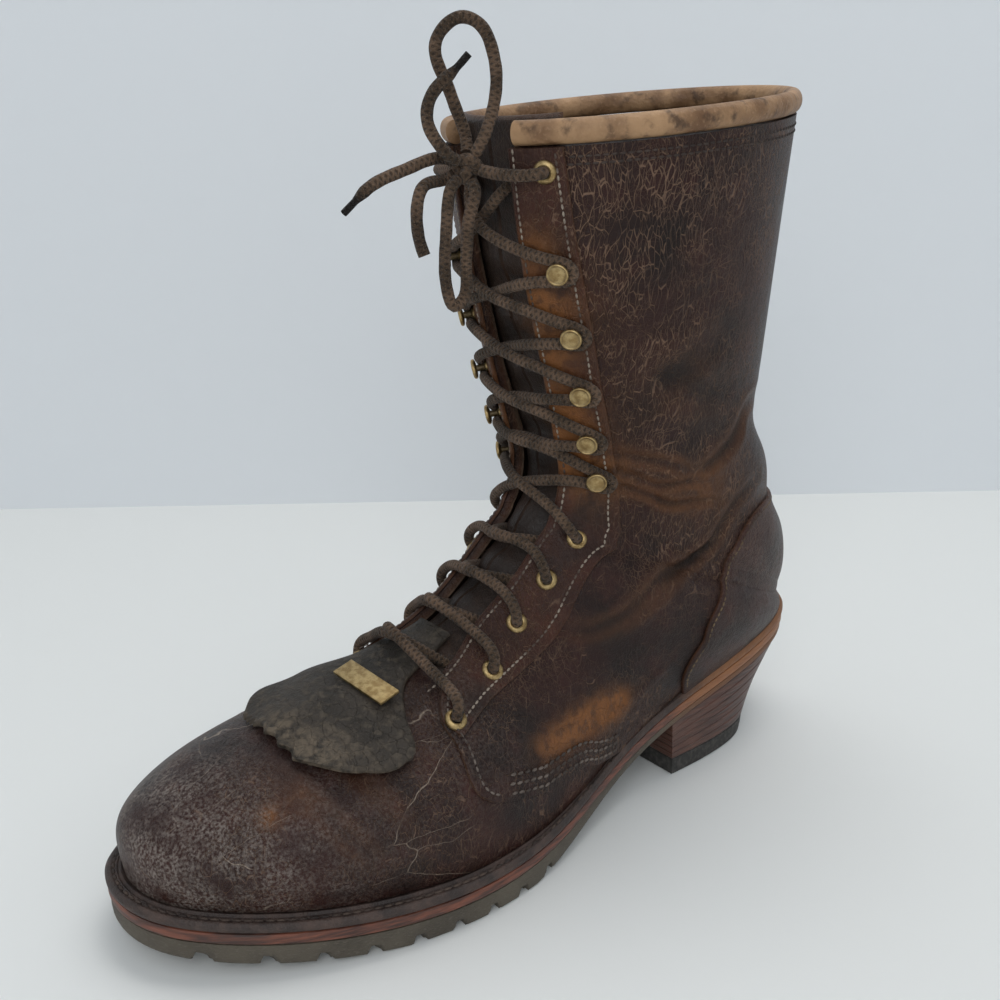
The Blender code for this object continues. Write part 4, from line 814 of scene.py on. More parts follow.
def leather_piece(name, s, u, sides, low, thick, borders="", radius=0.0012, raised=None, lining=False,
                  rubbed=(), tanned=()):
    """A sheet of leather on the last: one grid of s and u on one or both sides, its inner face at the
    height low and its outer face thick above it, both carried by the folds. Points of both sides that
    share the middle plane are one, and every free edge is closed between the two faces. A pair of u
    serves the outer and the inner side; rubbed and tanned are spots worn besides the common ones."""
    u_of = dict(zip(sides, u)) if isinstance(u, tuple) else dict.fromkeys(sides, u)
    outer, inner, painted = [], [], []
    for side in sides:
        u = u_of[side]
        base = last(s, u, side)
        height, wear = folds(base)
        extra = height if raised is None else height + raised(base, s, u)
        shape = np.broadcast_to(thick, s.shape) * rounded_edge(base, borders, radius)
        outer.append(drawn_over(s, u, side, low + shape + extra).reshape(-1, 3))
        inner.append(drawn_over(s, u, side, low + extra).reshape(-1, 3))
        cut = 1 - rounded_edge(base, borders, radius * 0.8)
        painted.append({"worn": np.clip(wear + 0.8 * cut + around(base, rubbed), 0, 1),
                        # Dust on the toe and painted greyish sheen on the vamp, counter and shaft share one
                        # set of spots.
                        "tan": around(base, TAN_SPOTS + tuple(tanned)), "dust_and_sheen": around(base, DUST_AND_SHEEN_SPOTS),
                        # Painted shade: grows where the folds sink deepest.
                        "fold_shade": np.clip(-700 * height - 0.25, 0, 1),
                        "crackled": around(base, CRACKLED_SPOTS)})
    marks = {key: np.concatenate([marked[key].ravel() for marked in painted * 2]) for key in painted[0]}
    total = s.size * len(sides)
    marks["within"] = np.repeat([0, 1 if lining else 0], total)
    index = np.arange(s.size).reshape(s.shape)
    quads = np.stack([index[:-1, :-1], index[1:, :-1], index[1:, 1:], index[:-1, 1:]], -1).reshape(-1, 4)
    both = [quads if sides[0] > 0 else quads[:, ::-1]]
    if len(sides) > 1:
        same = np.where(in_middle(s, u).ravel(), np.arange(s.size), np.arange(s.size) + s.size)
        both.append(same[quads][:, ::-1])
    quads = np.vstack(both)
    start, end = quads.ravel(), np.roll(quads, -1, 1).ravel()
    free = ~np.isin(start * 2 * total + end, end * 2 * total + start) & (start != end)
    start, end = start[free], end[free]
    rim = np.stack([end, start, start + total, end + total], 1)
    faces = np.vstack([quads, quads[:, ::-1] + total, rim])
    return cleaned(mesh_object(name, np.vstack(outer + inner), faces, marks), 2e-6, 50)


def oiled_leather(name, dark, light, crackle=1.0, scuffed=0.0):
    """Dark reddish pull-up leather: mottled oil, a web of fine pale crackle, streaks that run down the
    boot, tan where folds and rubbing wore the finish, dust on the toe, painted greyish sheen on the vamp,
    counter and shaft, painted shade in the bottoms of the folds and a lining within."""
    hide = Finish(name)
    cloud, patches, soil = hide.noise(26, 5), hide.noise(75, 5), hide.noise(240, 4)
    tone = hide.mix(cloud.between(0.32, 0.68), dark, light)
    paler = (light[0] * 1.7, light[1] * 1.45, light[2] * 1.35)
    tone = hide.mix(patches.between(0.45, 0.75) * 0.5, tone, paler)
    loose = hide.warped(0.010, 45)
    web, fine_web = hide.cracks(190, loose), hide.cracks(560, hide.warped(0.004, 200))
    streaks = hide.cracks(620, hide.turned((0.6, 0.15, 0.3), (1, 1, 0.28), loose))
    upright = hide.cracks(330, hide.turned((-0.3, 0.3, 0), (1, 1, 0.22), loose))
    where_web = hide.noise(13, 3).between(0.42, 0.60) * patches.between(0.36, 0.56)
    where_fine = soil.between(0.40, 0.62) * cloud.between(0.40, 0.60)
    where_hair = hide.noise(22, 4).between(0.40, 0.58) * 0.7 + hide.mark("crackled") * 0.6 + 0.08
    lines = (web.between(0.018, 0.0) * where_web * 0.8 + fine_web.between(0.050, 0.0) * where_fine * 0.4
             + streaks.between(0.060, 0.0) * where_hair * patches.between(0.30, 0.55)
             + upright.between(0.035, 0.0) * where_hair * cloud.between(0.35, 0.60)) * crackle
    lines = lines.clamped()
    tone = hide.mix(lines * 0.75, tone, (0.205, 0.125, 0.082))
    rubbed = (hide.mark("worn") * (soil * 0.9 + 0.35)).clamped()
    tone = hide.mix(rubbed * 0.85, tone, (0.140, 0.060, 0.026))
    tan = (hide.mark("tan") * patches.between(0.20, 0.50) * (soil.between(0.36, 0.54) * 0.55 + 0.5)).clamped()
    tone = hide.mix(tan * 0.85, tone, (0.235, 0.092, 0.028))
    # Greyish colour from the same spots: real dust on the toe, painted sheen on the vamp, the counter and the
    # shaft.
    dust_sheen = hide.noise(900, 3).between(0.36, 0.70) * hide.mark("dust_and_sheen") * patches.between(0.25, 0.6)
    tone = hide.mix(dust_sheen * 0.9, tone, (0.23, 0.195, 0.172))
    scratch = hide.cracks(60, hide.turned((0.4, 0.9, 0.7), (1, 0.2, 1), hide.warped(0.004, 90)))
    scratch = scratch.between(0.006, 0.0) * hide.noise(34, 3).between(0.46, 0.60) * scuffed
    tone = hide.mix(scratch * 0.75, tone, (0.34, 0.27, 0.21))
    # Painted shade, nearly black, in the bottoms of the folds.
    tone = hide.mix(hide.mark("fold_shade") * 0.8, tone, (0.008, 0.006, 0.005))
    lining = hide.mix(soil.between(0.3, 0.7), (0.050, 0.030, 0.019), (0.13, 0.080, 0.050))
    within = hide.mark("within").between(0.4, 0.6)
    tone = hide.mix(within, tone, lining)
    gloss = cloud * 0.16 + lines * 0.2 + rubbed * 0.18 + dust_sheen * 0.3 + tan * 0.15 + within * 0.35 + 0.30
    grain = hide.cracks(950, hide.warped(0.0012, 600))
    normal = hide.bump(grain.between(0.0, 0.28), 0.00016, strength=0.6)
    normal = hide.bump(patches, 0.0026, normal, 0.5)
    normal = hide.bump(soil, 0.0007, normal, 0.6)
    normal = hide.bump(lines * -1.0, 0.00035, normal)
    return hide.done(tone, gloss.clamped(), normal, Specular_IOR_Level=0.24)


def spaced(low, high, count, fine=()):
    """Even steps between two values, with finer ones added next to the ends that are named."""
    steps = np.linspace(0, 1, count)
    extra = np.array([0.0006, 0.0014, 0.0024, 0.0038])
    if "low" in fine:
        steps = np.r_[steps, extra]
    if "high" in fine:
        steps = np.r_[steps, 1 - extra]
    return low + (high - low) * np.unique(steps)


rows = spaced(0, 1, 96)
in_lap = rows < THROAT_U - 0.02
edge = np.where(in_lap, spline(rows, QUARTER_EDGE)[:, 0] + 0.03, QUARTER_EDGE[-1][1] + 0.004)
s = spaced(0, 1, 150)[:, None] * edge
u = np.broadcast_to(rows, s.shape)
vamp = leather_piece("vamp", s, u, (1, -1), -LEATHER, LEATHER, lining=True)
vamp_hide = oiled_leather("vamp_hide", (0.0099, 0.0042, 0.0036), (0.0317, 0.0094, 0.0071), 1.0, 1.0)
dressed(vamp, vamp_hide, "leather", "upper")

# Quarters.
# Two panels from the wing-shaped lap on the vamp up to the collar, closed by the back seam.
# The lap is held by three rows of stitches, and the ankle has folded deep where the foot bends.

# s, then the facing's front and back edge in ball widths from the ridge.
FACING = ((0.45, 0.24, 0.42), (0.545, 0.205, 0.34), (0.65, 0.14, 0.29), (0.77, 0.125, 0.265),
          (0.91, 0.115, 0.25), (1.11, 0.112, 0.24), (1.29, 0.115, 0.255), (1.45, 0.125, 0.27),
          (1.77, 0.128, 0.285), (2.0, 0.14, 0.285))


def facing_gap(s):
    """Distance across from the ridge to the facing's front edge: a spline through FACING."""
    return BALL_WIDTH * spline(s, FACING)[..., 0]


def stay_reach(s):
    """Distance across from the ridge to the facing's back edge: a spline through FACING."""
    return BALL_WIDTH * spline(s, FACING)[..., 1]


def quarter_grid(columns, rows):
    """s and u of a quarter: rows up to the facing's edge, columns from the lap's edge to the collar."""
    rows = rows * THROAT_U
    edge = spline(rows, QUARTER_EDGE)[:, 0]
    s = edge + columns[:, None] * (COLLAR_S - edge)
    return s, rows * across(s, facing_gap(s)) / THROAT_U


s, u = quarter_grid(spaced(0, 1, 200, ("low",)), spaced(0, 1, 104, ("high",)))
base = last(s, u, 1)
behind_edge = run_along(base)
low = -LEATHER * np.clip((behind_edge - 0.011) / 0.004, 0, 1) + 0.0001
slant = np.cross(np.gradient(base[0], axis=0), base[1] - base[0])
slant = np.linalg.norm(slant, axis=1) / np.linalg.norm(np.gradient(base[0], axis=0), axis=1)
from_edge = behind_edge * slant / np.maximum(behind_edge[1], 1e-9)
LAP_ROWS = (0.0026, 0.0058, 0.0090)
LAP_PAD = 0.0005


def padded_lap(base, s, u):
    """The lap stands up a little over its rows of stitches and sinks behind the last of them."""
    band = np.clip((0.0118 - from_edge) / 0.002, 0, 1) * np.clip((0.56 - u) / 0.08, 0, 1)
    return LAP_PAD * band


SIDES = ((1, "lateral"), (-1, "medial"))
quarter_hide = oiled_leather("quarter_hide", (0.0079, 0.0035, 0.0028), (0.0263, 0.008, 0.006), 1.25)
for side, word in SIDES:
    piece = leather_piece("quarter_" + word, s, u, (side,), low, QUARTER_LAP - low, borders="sU",
                          radius=0.0006, raised=padded_lap, lining=True)
    dressed(piece, quarter_hide, "leather", "upper")


def seam_row(s, u, side, behind, height, towards=(0, -0.02, 0.16)):
    """A row of points and directions at a distance from a seam, on the side of the given point. From the
    seam each point steps at right angles to it, then s and u are found by damped least squares."""
    s, u = (np.array(values, float) for values in np.broadcast_arrays(s, u))
    if behind:
        place = last(s, u, side)
        square = np.cross(facing_out(s, u, side), np.gradient(place, axis=0))
        square *= np.sign(((towards - place) * square).sum(1))[:, None]
        target = place + unit(square) * behind
        small, damping = 0.001, 1.05
        for _ in range(10):
            low_u, high_u = np.clip(u - small, 0, 1), np.clip(u + small, 0, 1)
            by_s = (last(s + small, u, side) - last(s - small, u, side)) / (2 * small)
            by_u = (last(s, high_u, side) - last(s, low_u, side)) / (high_u - low_u)[:, None]
            off = target - last(s, u, side)
            a, b, c = damping * (by_s**2).sum(1), damping * (by_u**2).sum(1), (by_s * by_u).sum(1)
            p, q = (by_s * off).sum(1), (by_u * off).sum(1)
            s = s + np.clip((b * p - c * q) / (a * b - c**2), -0.01, 0.01)
            u = np.clip(u + np.clip((a * q - c * p) / (a * b - c**2), -0.02, 0.02), 0, 1)
    lift, _ = folds(last(s, u, side))
    return drawn_over(s, u, side, height + lift), facing_out(s, u, side)


def lap_line(rows):
    """s and u of the lap's own edge, at rows counted from the welt up."""
    s = spline(rows, QUARTER_EDGE)[:, 0]
    return s, rows * across(s, facing_gap(s)) / THROAT_U


dark_thread = thread("dark_thread", (0.055, 0.036, 0.028), (0.026, 0.017, 0.014))
pale_thread = thread("pale_thread", (0.30, 0.25, 0.20), (0.075, 0.050, 0.038))
LAP_STITCH = {"pitch": 0.0034, "long": 0.0027, "thick": 0.0010, "proud": 0.55, "slant": 0.15}
THROAT_STITCH = {"pitch": 0.0026, "long": 0.0020, "thick": 0.0008, "proud": 0.5}
wing, throat = lap_line(np.linspace(0.04, 0.475, 150)), lap_line(np.linspace(0.50, THROAT_U - 0.02, 120))
lap_rows = []
for side, _ in SIDES:
    for behind in LAP_ROWS:
        row = seam_row(*wing, side, behind, QUARTER_LAP + LAP_PAD)
        lap_rows.append(stitches(*row, **LAP_STITCH))
    row = seam_row(*throat, side, LAP_ROWS[0], QUARTER_LAP + 0.0018)
    lap_rows.append(stitches(*row, **THROAT_STITCH))
sewn("lap_stitches", lap_rows, thread("lap_thread", (0.15, 0.12, 0.10), (0.040, 0.028, 0.022)))

# Counter.
# A second layer of leather around the heel, held by one row of tan stitches along its edge.
OVERLAY = 0.0015
OVERLAY_FIT = 0.0002
# s and u of the counter's edge, from its outer foot over the heel's back.
COUNTER_EDGE = ((0.721, 0.0), (0.745, 0.25), (0.80, 0.40), (0.90, 0.455), (1.06, 0.421), (1.16, 0.39),
                (1.256, 0.30), (1.31, 0.15), (1.33, 0.0))
knots = np.linspace(0, 1, len(COUNTER_EDGE))
seam = spline(spaced(0, 1, 120), np.c_[knots, COUNTER_EDGE])
seam[:, 1] = np.clip(seam[:, 1], 0, 1)
seam[[0, -1], 1] = 0
inward = spaced(0, 1, 46, ("low",))
foot = np.interp(np.linspace(0, 1, len(seam)), (0, 0.42, 1), (seam[0, 0], 1.0, seam[-1, 0]))
s = seam[:, :1] + inward * (foot[:, None] - seam[:, :1])
u = seam[:, 1:] * (1 - inward)
counter = leather_piece("heel_counter", s, u, (1, -1), QUARTER_LAP + OVERLAY_FIT, OVERLAY, borders="u",
                        radius=0.0010)
counter_hide = oiled_leather("counter_hide", (0.012, 0.0055, 0.0046), (0.0353, 0.0114, 0.009), 0.55)
dressed(counter, counter_hide, "leather", "counter")
COUNTER_STITCH = {"pitch": 0.0024, "long": 0.0019, "thick": 0.0007, "proud": 0.5}
FACE_TOP = QUARTER_LAP + OVERLAY_FIT + OVERLAY
seams = [seam_row(*seam[6:-14].T, side, 0.0020, FACE_TOP, (0, 0.05, 0.07)) for side, _ in SIDES]
sewn("counter_stitches", [stitches(*row, **COUNTER_STITCH) for row in seams],
     thread("tan_thread", (0.17, 0.115, 0.06), (0.06, 0.038, 0.025)))

# Eyestays.
# Facing strips that carry eyelets and hooks, with one long pale row of stitches behind and one in front.
EYESTAY_FOOT = 0.478
STAY_STITCH = {"pitch": 0.0024, "long": 0.0019, "thick": 0.00075, "proud": 0.5}
reach = spaced(0, 1, 34, ("low", "high"))
start = np.full(len(reach), 0.5)
for _ in range(12):
    distance = facing_gap(start) + reach * (stay_reach(start) - facing_gap(start))
    rows = across(start, distance) * THROAT_U / across(start, facing_gap(start))
    start = np.maximum(spline(rows, QUARTER_EDGE)[:, 0], EYESTAY_FOOT) + 0.001
s = start + spaced(0, 1, 230, ("low",))[:, None] * (COLLAR_S - start)
u = across(s, facing_gap(s) + reach * (stay_reach(s) - facing_gap(s)))
stay_hide = oiled_leather("eyestay_hide", (0.0138, 0.0062, 0.0043), (0.0454, 0.0147, 0.0086), 0.7)
stay_rows = []
RUBBED_FACING = [(*last(s_at, across(s_at, facing_gap(s_at) + 0.005), side).tolist(), 0.008, 0.75)
                 for side, _ in SIDES for s_at in (1.22, 1.33, 1.45, 1.58, 1.70, 1.80)]
for side, word in SIDES:
    piece = leather_piece("facing_" + word, s, u, (side,), QUARTER_LAP + OVERLAY_FIT, OVERLAY, borders="sUu",
                          tanned=RUBBED_FACING)
    dressed(piece, stay_hide, "leather", "eyestay_" + word)
    along_stay = np.linspace(0.50, COLLAR_S - 0.004, 400)
    for distance in (stay_reach(along_stay) - 0.0022, facing_gap(along_stay) + 0.0020):
        row = seam_row(along_stay, across(along_stay, distance), side, 0.0, FACE_TOP)
        stay_rows.append(stitches(*row, **STAY_STITCH))
sewn("eyestay_stitches", stay_rows, pale_thread)

# Back stay.
# A narrow rolled strip over the back seam, from the counter to the collar.
BACK_HALF = 0.0042
s = np.linspace(1.338, COLLAR_S - 0.001, 120)[:, None] + np.zeros((1, 12))
share = np.linspace(0, 1, 12)
low_u, high_u = np.zeros(s.shape), np.full(s.shape, 0.3)
for _ in range(24):
    u = (low_u + high_u) / 2
    wide = np.abs(last(s, u, 1)[..., 0] - last(s, np.zeros(s.shape), 1)[..., 0]) > share * BACK_HALF
    low_u, high_u = np.where(wide, low_u, u), np.where(wide, u, high_u)
u[:, 0] = 0
thick = 0.0006 + (OVERLAY - 0.0002) * np.sqrt(1 - 0.97 * share**2)
stay = leather_piece("back_strip", s, u, (1, -1), QUARTER_LAP + OVERLAY_FIT, thick)
dressed(stay, counter_hide, "leather", "back_stay")

# Collar.
# A strip of tan leather rolled over the top edge, rubbed pale, with a double row of stitches below.
BINDING_RISE = 0.0042
BINDING_HALF = 0.0024
top_u = float(across(1.985, facing_gap(1.985) + 0.0006))
BINDING_COLUMNS = 260
BINDING_ROUND = 28
COLLAR_STITCH = {"pitch": 0.0028, "long": 0.0022, "thick": 0.0008, "proud": 0.5}
share = np.linspace(-1, 1, BINDING_COLUMNS)
side, u = np.where(share < 0, 1, -1), np.abs(share) * top_u
low_line = last(COLLAR_S, u, side)
rise = unit(last(2.0, u, side) - low_line)
out = facing_out(COLLAR_S, u, side)
middle = low_line + out * (QUARTER_LAP - LEATHER) / 2 + rise * (BINDING_RISE + 0.0003)
end = np.sqrt(np.clip(1 - np.clip((np.abs(share) - 0.993) / 0.007, 0, 1)**2, 0.02, 1))[:, None, None]
angle = np.linspace(0, 2 * math.pi, BINDING_ROUND + 1)[:-1]
lumps = 1 + 0.05 * np.sin(share * 61) * np.sin(share * 23 + 1)
cross = (out[:, None] * (BINDING_HALF + 0.0006) * 1.1 * np.cos(angle)[:, None] * lumps[:, None, None]
         + rise[:, None] * BINDING_RISE * np.sin(angle)[:, None])
rings = middle[:, None] + cross * end
caps = np.arange(rings.shape[0] * BINDING_ROUND).reshape(-1, BINDING_ROUND)[[0, -1]]
caps[0] = caps[0, ::-1]
roll = mesh_object("collar_roll", rings, woven_rings(BINDING_COLUMNS, BINDING_ROUND).tolist() + caps.tolist())
calf = Finish("tan_roll_leather")
rub, spots, fine = calf.noise(55, 5), calf.noise(170, 5), calf.noise(700, 3)
tone = calf.mix(rub.between(0.3, 0.7), (0.150, 0.076, 0.036), (0.42, 0.255, 0.135))
tone = calf.mix(spots.between(0.52, 0.72) * 0.75, tone, (0.045, 0.024, 0.015))
tone = calf.mix(fine.between(0.55, 0.75) * 0.4, tone, (0.42, 0.26, 0.15))
normal = calf.bump(fine, 0.0003, calf.bump(spots, 0.0008))
rolled = calf.done(tone, rub * 0.2 + 0.42, normal, Specular_IOR_Level=0.3)
dressed(cleaned(roll), rolled, "tan", "collar_binding")
around_collar = np.linspace(0.0, 1, 300) * across(COLLAR_S, stay_reach(COLLAR_S))
seams = [seam_row(COLLAR_S, around_collar, side, drop, QUARTER_LAP)
         for side, _ in SIDES for drop in (0.0035, 0.0060)]
sewn("collar_stitches", [stitches(*row, **COLLAR_STITCH) for row in seams], dark_thread)

# Tongue.
# Soft leather under the laces, puffed out between the crossings and darkened by sweat and oil.

# s, half width in ball widths, and how deep the tongue lies in the collar's half thicknesses.
TONGUE = ((0.5, 0.28, 0.0), (0.8, 0.24, 0.1), (1.1, 0.24, 0.25), (1.5, 0.24, 0.15), (1.8, 0.27, 0.2),
          (1.92, 0.28, 0.55), (2.0, 0.28, 0.7))
TONGUE_THICK = 0.0026
EYELET_S = (0.492, 0.594, 0.700, 0.818, 0.945)
HOOK_S = (1.20, 1.35, 1.50, 1.65, 1.775)
TOP_EYELET_S = 1.922
LACE_ROWS = EYELET_S + HOOK_S + (TOP_EYELET_S,)
s = np.linspace(0.50, 1.995, 240)[:, None] + np.zeros((1, 30))
width = np.linspace(1, 0, 30)
rows = spline(s[:, 0], TONGUE)
u = across(s, BALL_WIDTH * rows[:, :1] * width)
u[:, -1] = 1


def puffs(base, s, u):
    """The tongue swells between the lace rows, most in the gap, and wrinkles across where laces press."""
    rows = np.interp(s, LACE_ROWS, np.arange(len(LACE_ROWS)))
    reach = np.abs(base[..., 0]) / 0.012
    swell = 0.0011 * np.cos(2 * math.pi * rows) * np.exp(-reach**2)
    return swell * np.clip((1.9 - s) / 0.1, 0, 1)


low = -LEATHER - 0.0009 - TONGUE_THICK - BINDING_HALF * rows[:, 1:]
tongue = leather_piece("soft_tongue", s, u, (1, -1), low, TONGUE_THICK, borders="SuU", radius=0.001,
                       raised=puffs)
tongue_hide = oiled_leather("tongue_hide", (0.0138, 0.0092, 0.0074), (0.0322, 0.0212, 0.0166), 0.3)
dressed(tongue, tongue_hide, "leather", "tongue")

# Kiltie.
# A false tongue of stiff leather, pinked along its front, lifted at one edge and caked with dried mud.
# It lies over the vamp, a little askew, and is tucked under the lowest laces.

# s, half width in ball widths, and height over the last in the flap's own thicknesses.
KILTIE = ((0.302, 0.18, 1.4), (0.330, 0.28, 1.4), (0.375, 0.335, 1.5), (0.42, 0.325, 1.6), (0.455, 0.24, 1.3),
          (0.49, 0.175, 0.7), (0.545, 0.135, 0.4), (0.58, 0.115, -0.3), (0.62, 0.10, -0.7))
KILTIE_THICK = 0.0018
lengthways = np.linspace(0, 1, 150)
width = spaced(1, 0, 44, ("low",))
s = KILTIE[0][0] + lengthways[:, None] * (KILTIE[-1][0] - KILTIE[0][0]) + np.zeros((1, len(width)))
rows = spline(s[:, 0], KILTIE)
pinks = 1 - 0.035 * np.clip(1 - lengthways / 0.5, 0, 1)**0.3 * (1 - np.abs(np.sin(lengthways * 21)))
askew = 0.0070 * np.clip((0.50 - s[:, :1]) / 0.1, 0, 1)
reach = BALL_WIDTH * rows[:, :1] * pinks[:, None]
pair = tuple(across(s, np.maximum(reach + askew * side, 0.002) * width) for side, _ in SIDES)
for half in pair:
    half[:, -1] = 1
s = s + 0.007 * np.abs(np.sin(width * 10.5)) * np.clip(1 - lengthways / 0.08, 0, 1)[:, None]


def warped_flap(base, s, u):
    """The flap waves: two sines across each other, strongest at its free front, and its edge lifts."""
    free = np.clip((0.46 - s) / 0.12, 0, 1)
    wave = 0.0009 * np.sin(base[..., 0] * 190 + 1.0) + 0.0006 * np.sin(base[..., 1] * 260)
    return free * (wave + 0.0008) + 0.0012 * free**2 * np.clip((base[..., 0] - 0.012) / 0.02, 0, 1)


TURNED_UP = [(*last(at, float(across(at, reach)), 1).tolist(), 0.007, 0.8)
             for at, reach in ((0.312, 0.008), (0.314, 0.016), (0.322, 0.024), (0.335, 0.031))]
kiltie = leather_piece("kiltie_flap", s, pair, (1, -1), KILTIE_THICK * rows[:, 1:] - 0.0003, KILTIE_THICK,
                       borders="su", radius=0.001, raised=warped_flap, rubbed=TURNED_UP)
mud = Finish("kiltie_hide")
cloud, soil, dry = mud.noise(40, 5), mud.noise(300, 5), mud.cracks(230, mud.warped(0.003, 300))
tone = mud.mix(cloud.between(0.3, 0.7), (0.016, 0.013, 0.010), (0.044, 0.035, 0.027))
tone = mud.mix(soil.between(0.48, 0.68) * 0.7, tone, (0.085, 0.068, 0.050))
tone = mud.mix(dry.between(0.03, 0.0) * cloud.between(0.45, 0.65) * 0.4, tone, (0.015, 0.010, 0.008))
tone = mud.mix(mud.mark("worn") * soil.between(0.3, 0.6) * 0.7, tone, (0.15, 0.115, 0.080))
normal = mud.bump(soil, 0.0012, mud.bump(dry.between(0.0, 0.05), 0.0002, mud.bump(cloud, 0.003)))
dressed(kiltie, mud.done(tone, soil * 0.3 + 0.5, normal, Specular_IOR_Level=0.3), "overlay", "kiltie")

# Eyelets and hooks.
# Rolled brass eyelets and round-headed speed hooks, riveted through both facings and dulled by use.

# s, then the distance of the eyelets and hooks from the ridge in ball widths.
ROW = ((0.45, 0.37), (0.492, 0.348), (0.594, 0.27), (0.70, 0.205), (0.82, 0.193), (0.95, 0.184),
       (1.20, 0.205), (1.35, 0.214), (1.50, 0.232), (1.65, 0.24), (2.0, 0.232))


def row_reach(s):
    """Distance across from the ridge to the eyelets and hooks: a spline through ROW."""
    return BALL_WIDTH * spline(s, ROW)[..., 0]


def turned_on(profile, s, side, count=24):
    """A profile of (radius, height, mark) turned about the leather's own normal at the lacing's row."""
    u = across(s, row_reach(s))
    place, out = drawn_over(s, u, side, FACE_TOP), facing_out(s, u, side)
    away = last(s, u - 0.02, side) - last(s, u, side)
    away = unit(away - out * (away @ out))
    turn = np.linspace(0, 2 * math.pi, count + 1)[:-1, None]
    spoke = away * np.cos(turn) + np.cross(out, away) * np.sin(turn)
    profile = np.array(profile)
    points = place + spoke[None] * profile[:, :1, None] + out * profile[:, 1:2, None]
    return points.reshape(-1, 3), woven_rings(len(profile), count), np.repeat(profile[:, 2], count)


def riveted(name, kind, profile, places):
    """The same turned fitting at each place on both sides, as one piece."""
    made = [turned_on(profile, s, side) for side, _ in SIDES for s in places]
    size = len(made[0][0])
    points = np.vstack([points for points, _, _ in made])
    faces = np.vstack([faces + i * size for i, (_, faces, _) in enumerate(made)])
    marks = {"sunk": np.concatenate([mark for _, _, mark in made])}
    nodes = [f"{kind}_{word}_{i + 1}" for _, word in SIDES for i in range(len(places))]
    dressed(cleaned(mesh_object(name, points, faces, marks), 1e-6, 40), old_brass, "brass", *nodes)


brass = Finish("old_brass")
tarnish, fine = brass.noise(420, 4), brass.noise(2600, 3)
tone = brass.mix(tarnish.between(0.35, 0.65), (0.30, 0.20, 0.085), (0.50, 0.37, 0.18))
tone = brass.mix(fine.between(0.55, 0.75) * 0.6, tone, (0.09, 0.055, 0.03))
# Painted shade: the eyelets' holes become dark discs, and the hooks darken on their stems under the heads and
# in the dip on top.
tone = brass.mix(brass.mark("sunk"), tone, (0.006, 0.004, 0.003))
metal = 1 - brass.mark("sunk")
old_brass = brass.done(tone, tarnish * 0.25 + 0.28, brass.bump(fine, 0.00012), Metallic=metal)
# Profiles of an eyelet and of a hook: radius, height over the facing, and how much painted shade darkens the
# brass and takes its metal away: a dark disc fills the eyelet's hole, and the hook darkens on its stem, under
# its head and in a ring on its top.
RING = ((0, 0.0001, 1), (0.0018, 0.0001, 1), (0.0020, 0.0005, 0), (0.0022, 0.0009, 0), (0.0027, 0.0011, 0),
        (0.0033, 0.0009, 0), (0.0038, 0.0005, 0), (0.0041, 0, 0), (0.0041, -0.0008, 0), (0, -0.0008, 0))
STUD = ((0, -0.0004, 0), (0.0034, -0.0004, 0), (0.0034, 0.0005, 0), (0.0018, 0.0009, 0.5),
        (0.0013, 0.0014, 0.6), (0.0013, 0.0043, 0.6), (0.0030, 0.0045, 0.3), (0.0038, 0.0048, 0),
        (0.0040, 0.0053, 0), (0.0038, 0.0059, 0), (0.0034, 0.0061, 0), (0.0030, 0.0058, 0.35),
        (0.0026, 0.0057, 0.1), (0.0014, 0.0060, 0), (0, 0.0061, 0))
riveted("brass_eyelets", "eyelet", RING, EYELET_S + (TOP_EYELET_S,))
riveted("brass_hooks", "hook", STUD, HOOK_S)

# Keeper.
# A small blank brass plate with a raised border, riveted to the kiltie beside the lowest lace.
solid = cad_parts["lace_keeper"]
work = bmesh.new()
work.from_mesh(solid.data)
work.transform(Matrix.Translation((0.0060, -0.0020, -0.0012)) @ solid.matrix_world)
bmesh.ops.remove_doubles(work, verts=work.verts, dist=1e-6)
bmesh.ops.dissolve_limit(work, angle_limit=0.1, verts=work.verts, edges=work.edges)
largest = sorted(work.faces, key=lambda face: (round(face.calc_area(), 9), face.calc_center_median().z))[-1]
bmesh.ops.inset_region(work, faces=[largest], thickness=0.0009, depth=-0.0004)
bmesh.ops.bevel(work, geom=work.edges[:], offset=0.00022, segments=2, affect="EDGES", profile=0.6)
blank = bpy.data.meshes.new("keeper_plate")
work.to_mesh(blank)
work.free()
blank.materials.clear()
blank.attributes.new("sunk", "FLOAT", "POINT")
keeper = bpy.data.objects.new("keeper_plate", blank)
bpy.context.scene.collection.objects.link(keeper)
dressed(cleaned(keeper, 1e-6, 40), old_brass, "brass", "lace_keeper")

# Laces.
# One round braided lace, worn fuzzy. It comes up through the low eyelets, crosses on the tongue and goes
# under the next facing, then runs round the stems of the hooks and through the top eyelets to the knot.
LACE = 0.0042
KNOT = (0.0050, -0.1085, 0.2530)
KNOT_RADIUS = 0.0054


def even_path(points, step=0.0011):
    """A smooth way through the given points, with points at even steps."""
    knots = run_along(points)
    dense = spline(np.linspace(0, knots[-1], 12 * len(points)), np.c_[knots, points])
    run = run_along(dense)
    return placed(np.linspace(0, run[-1], max(4, int(run[-1] / step))), run, dense)


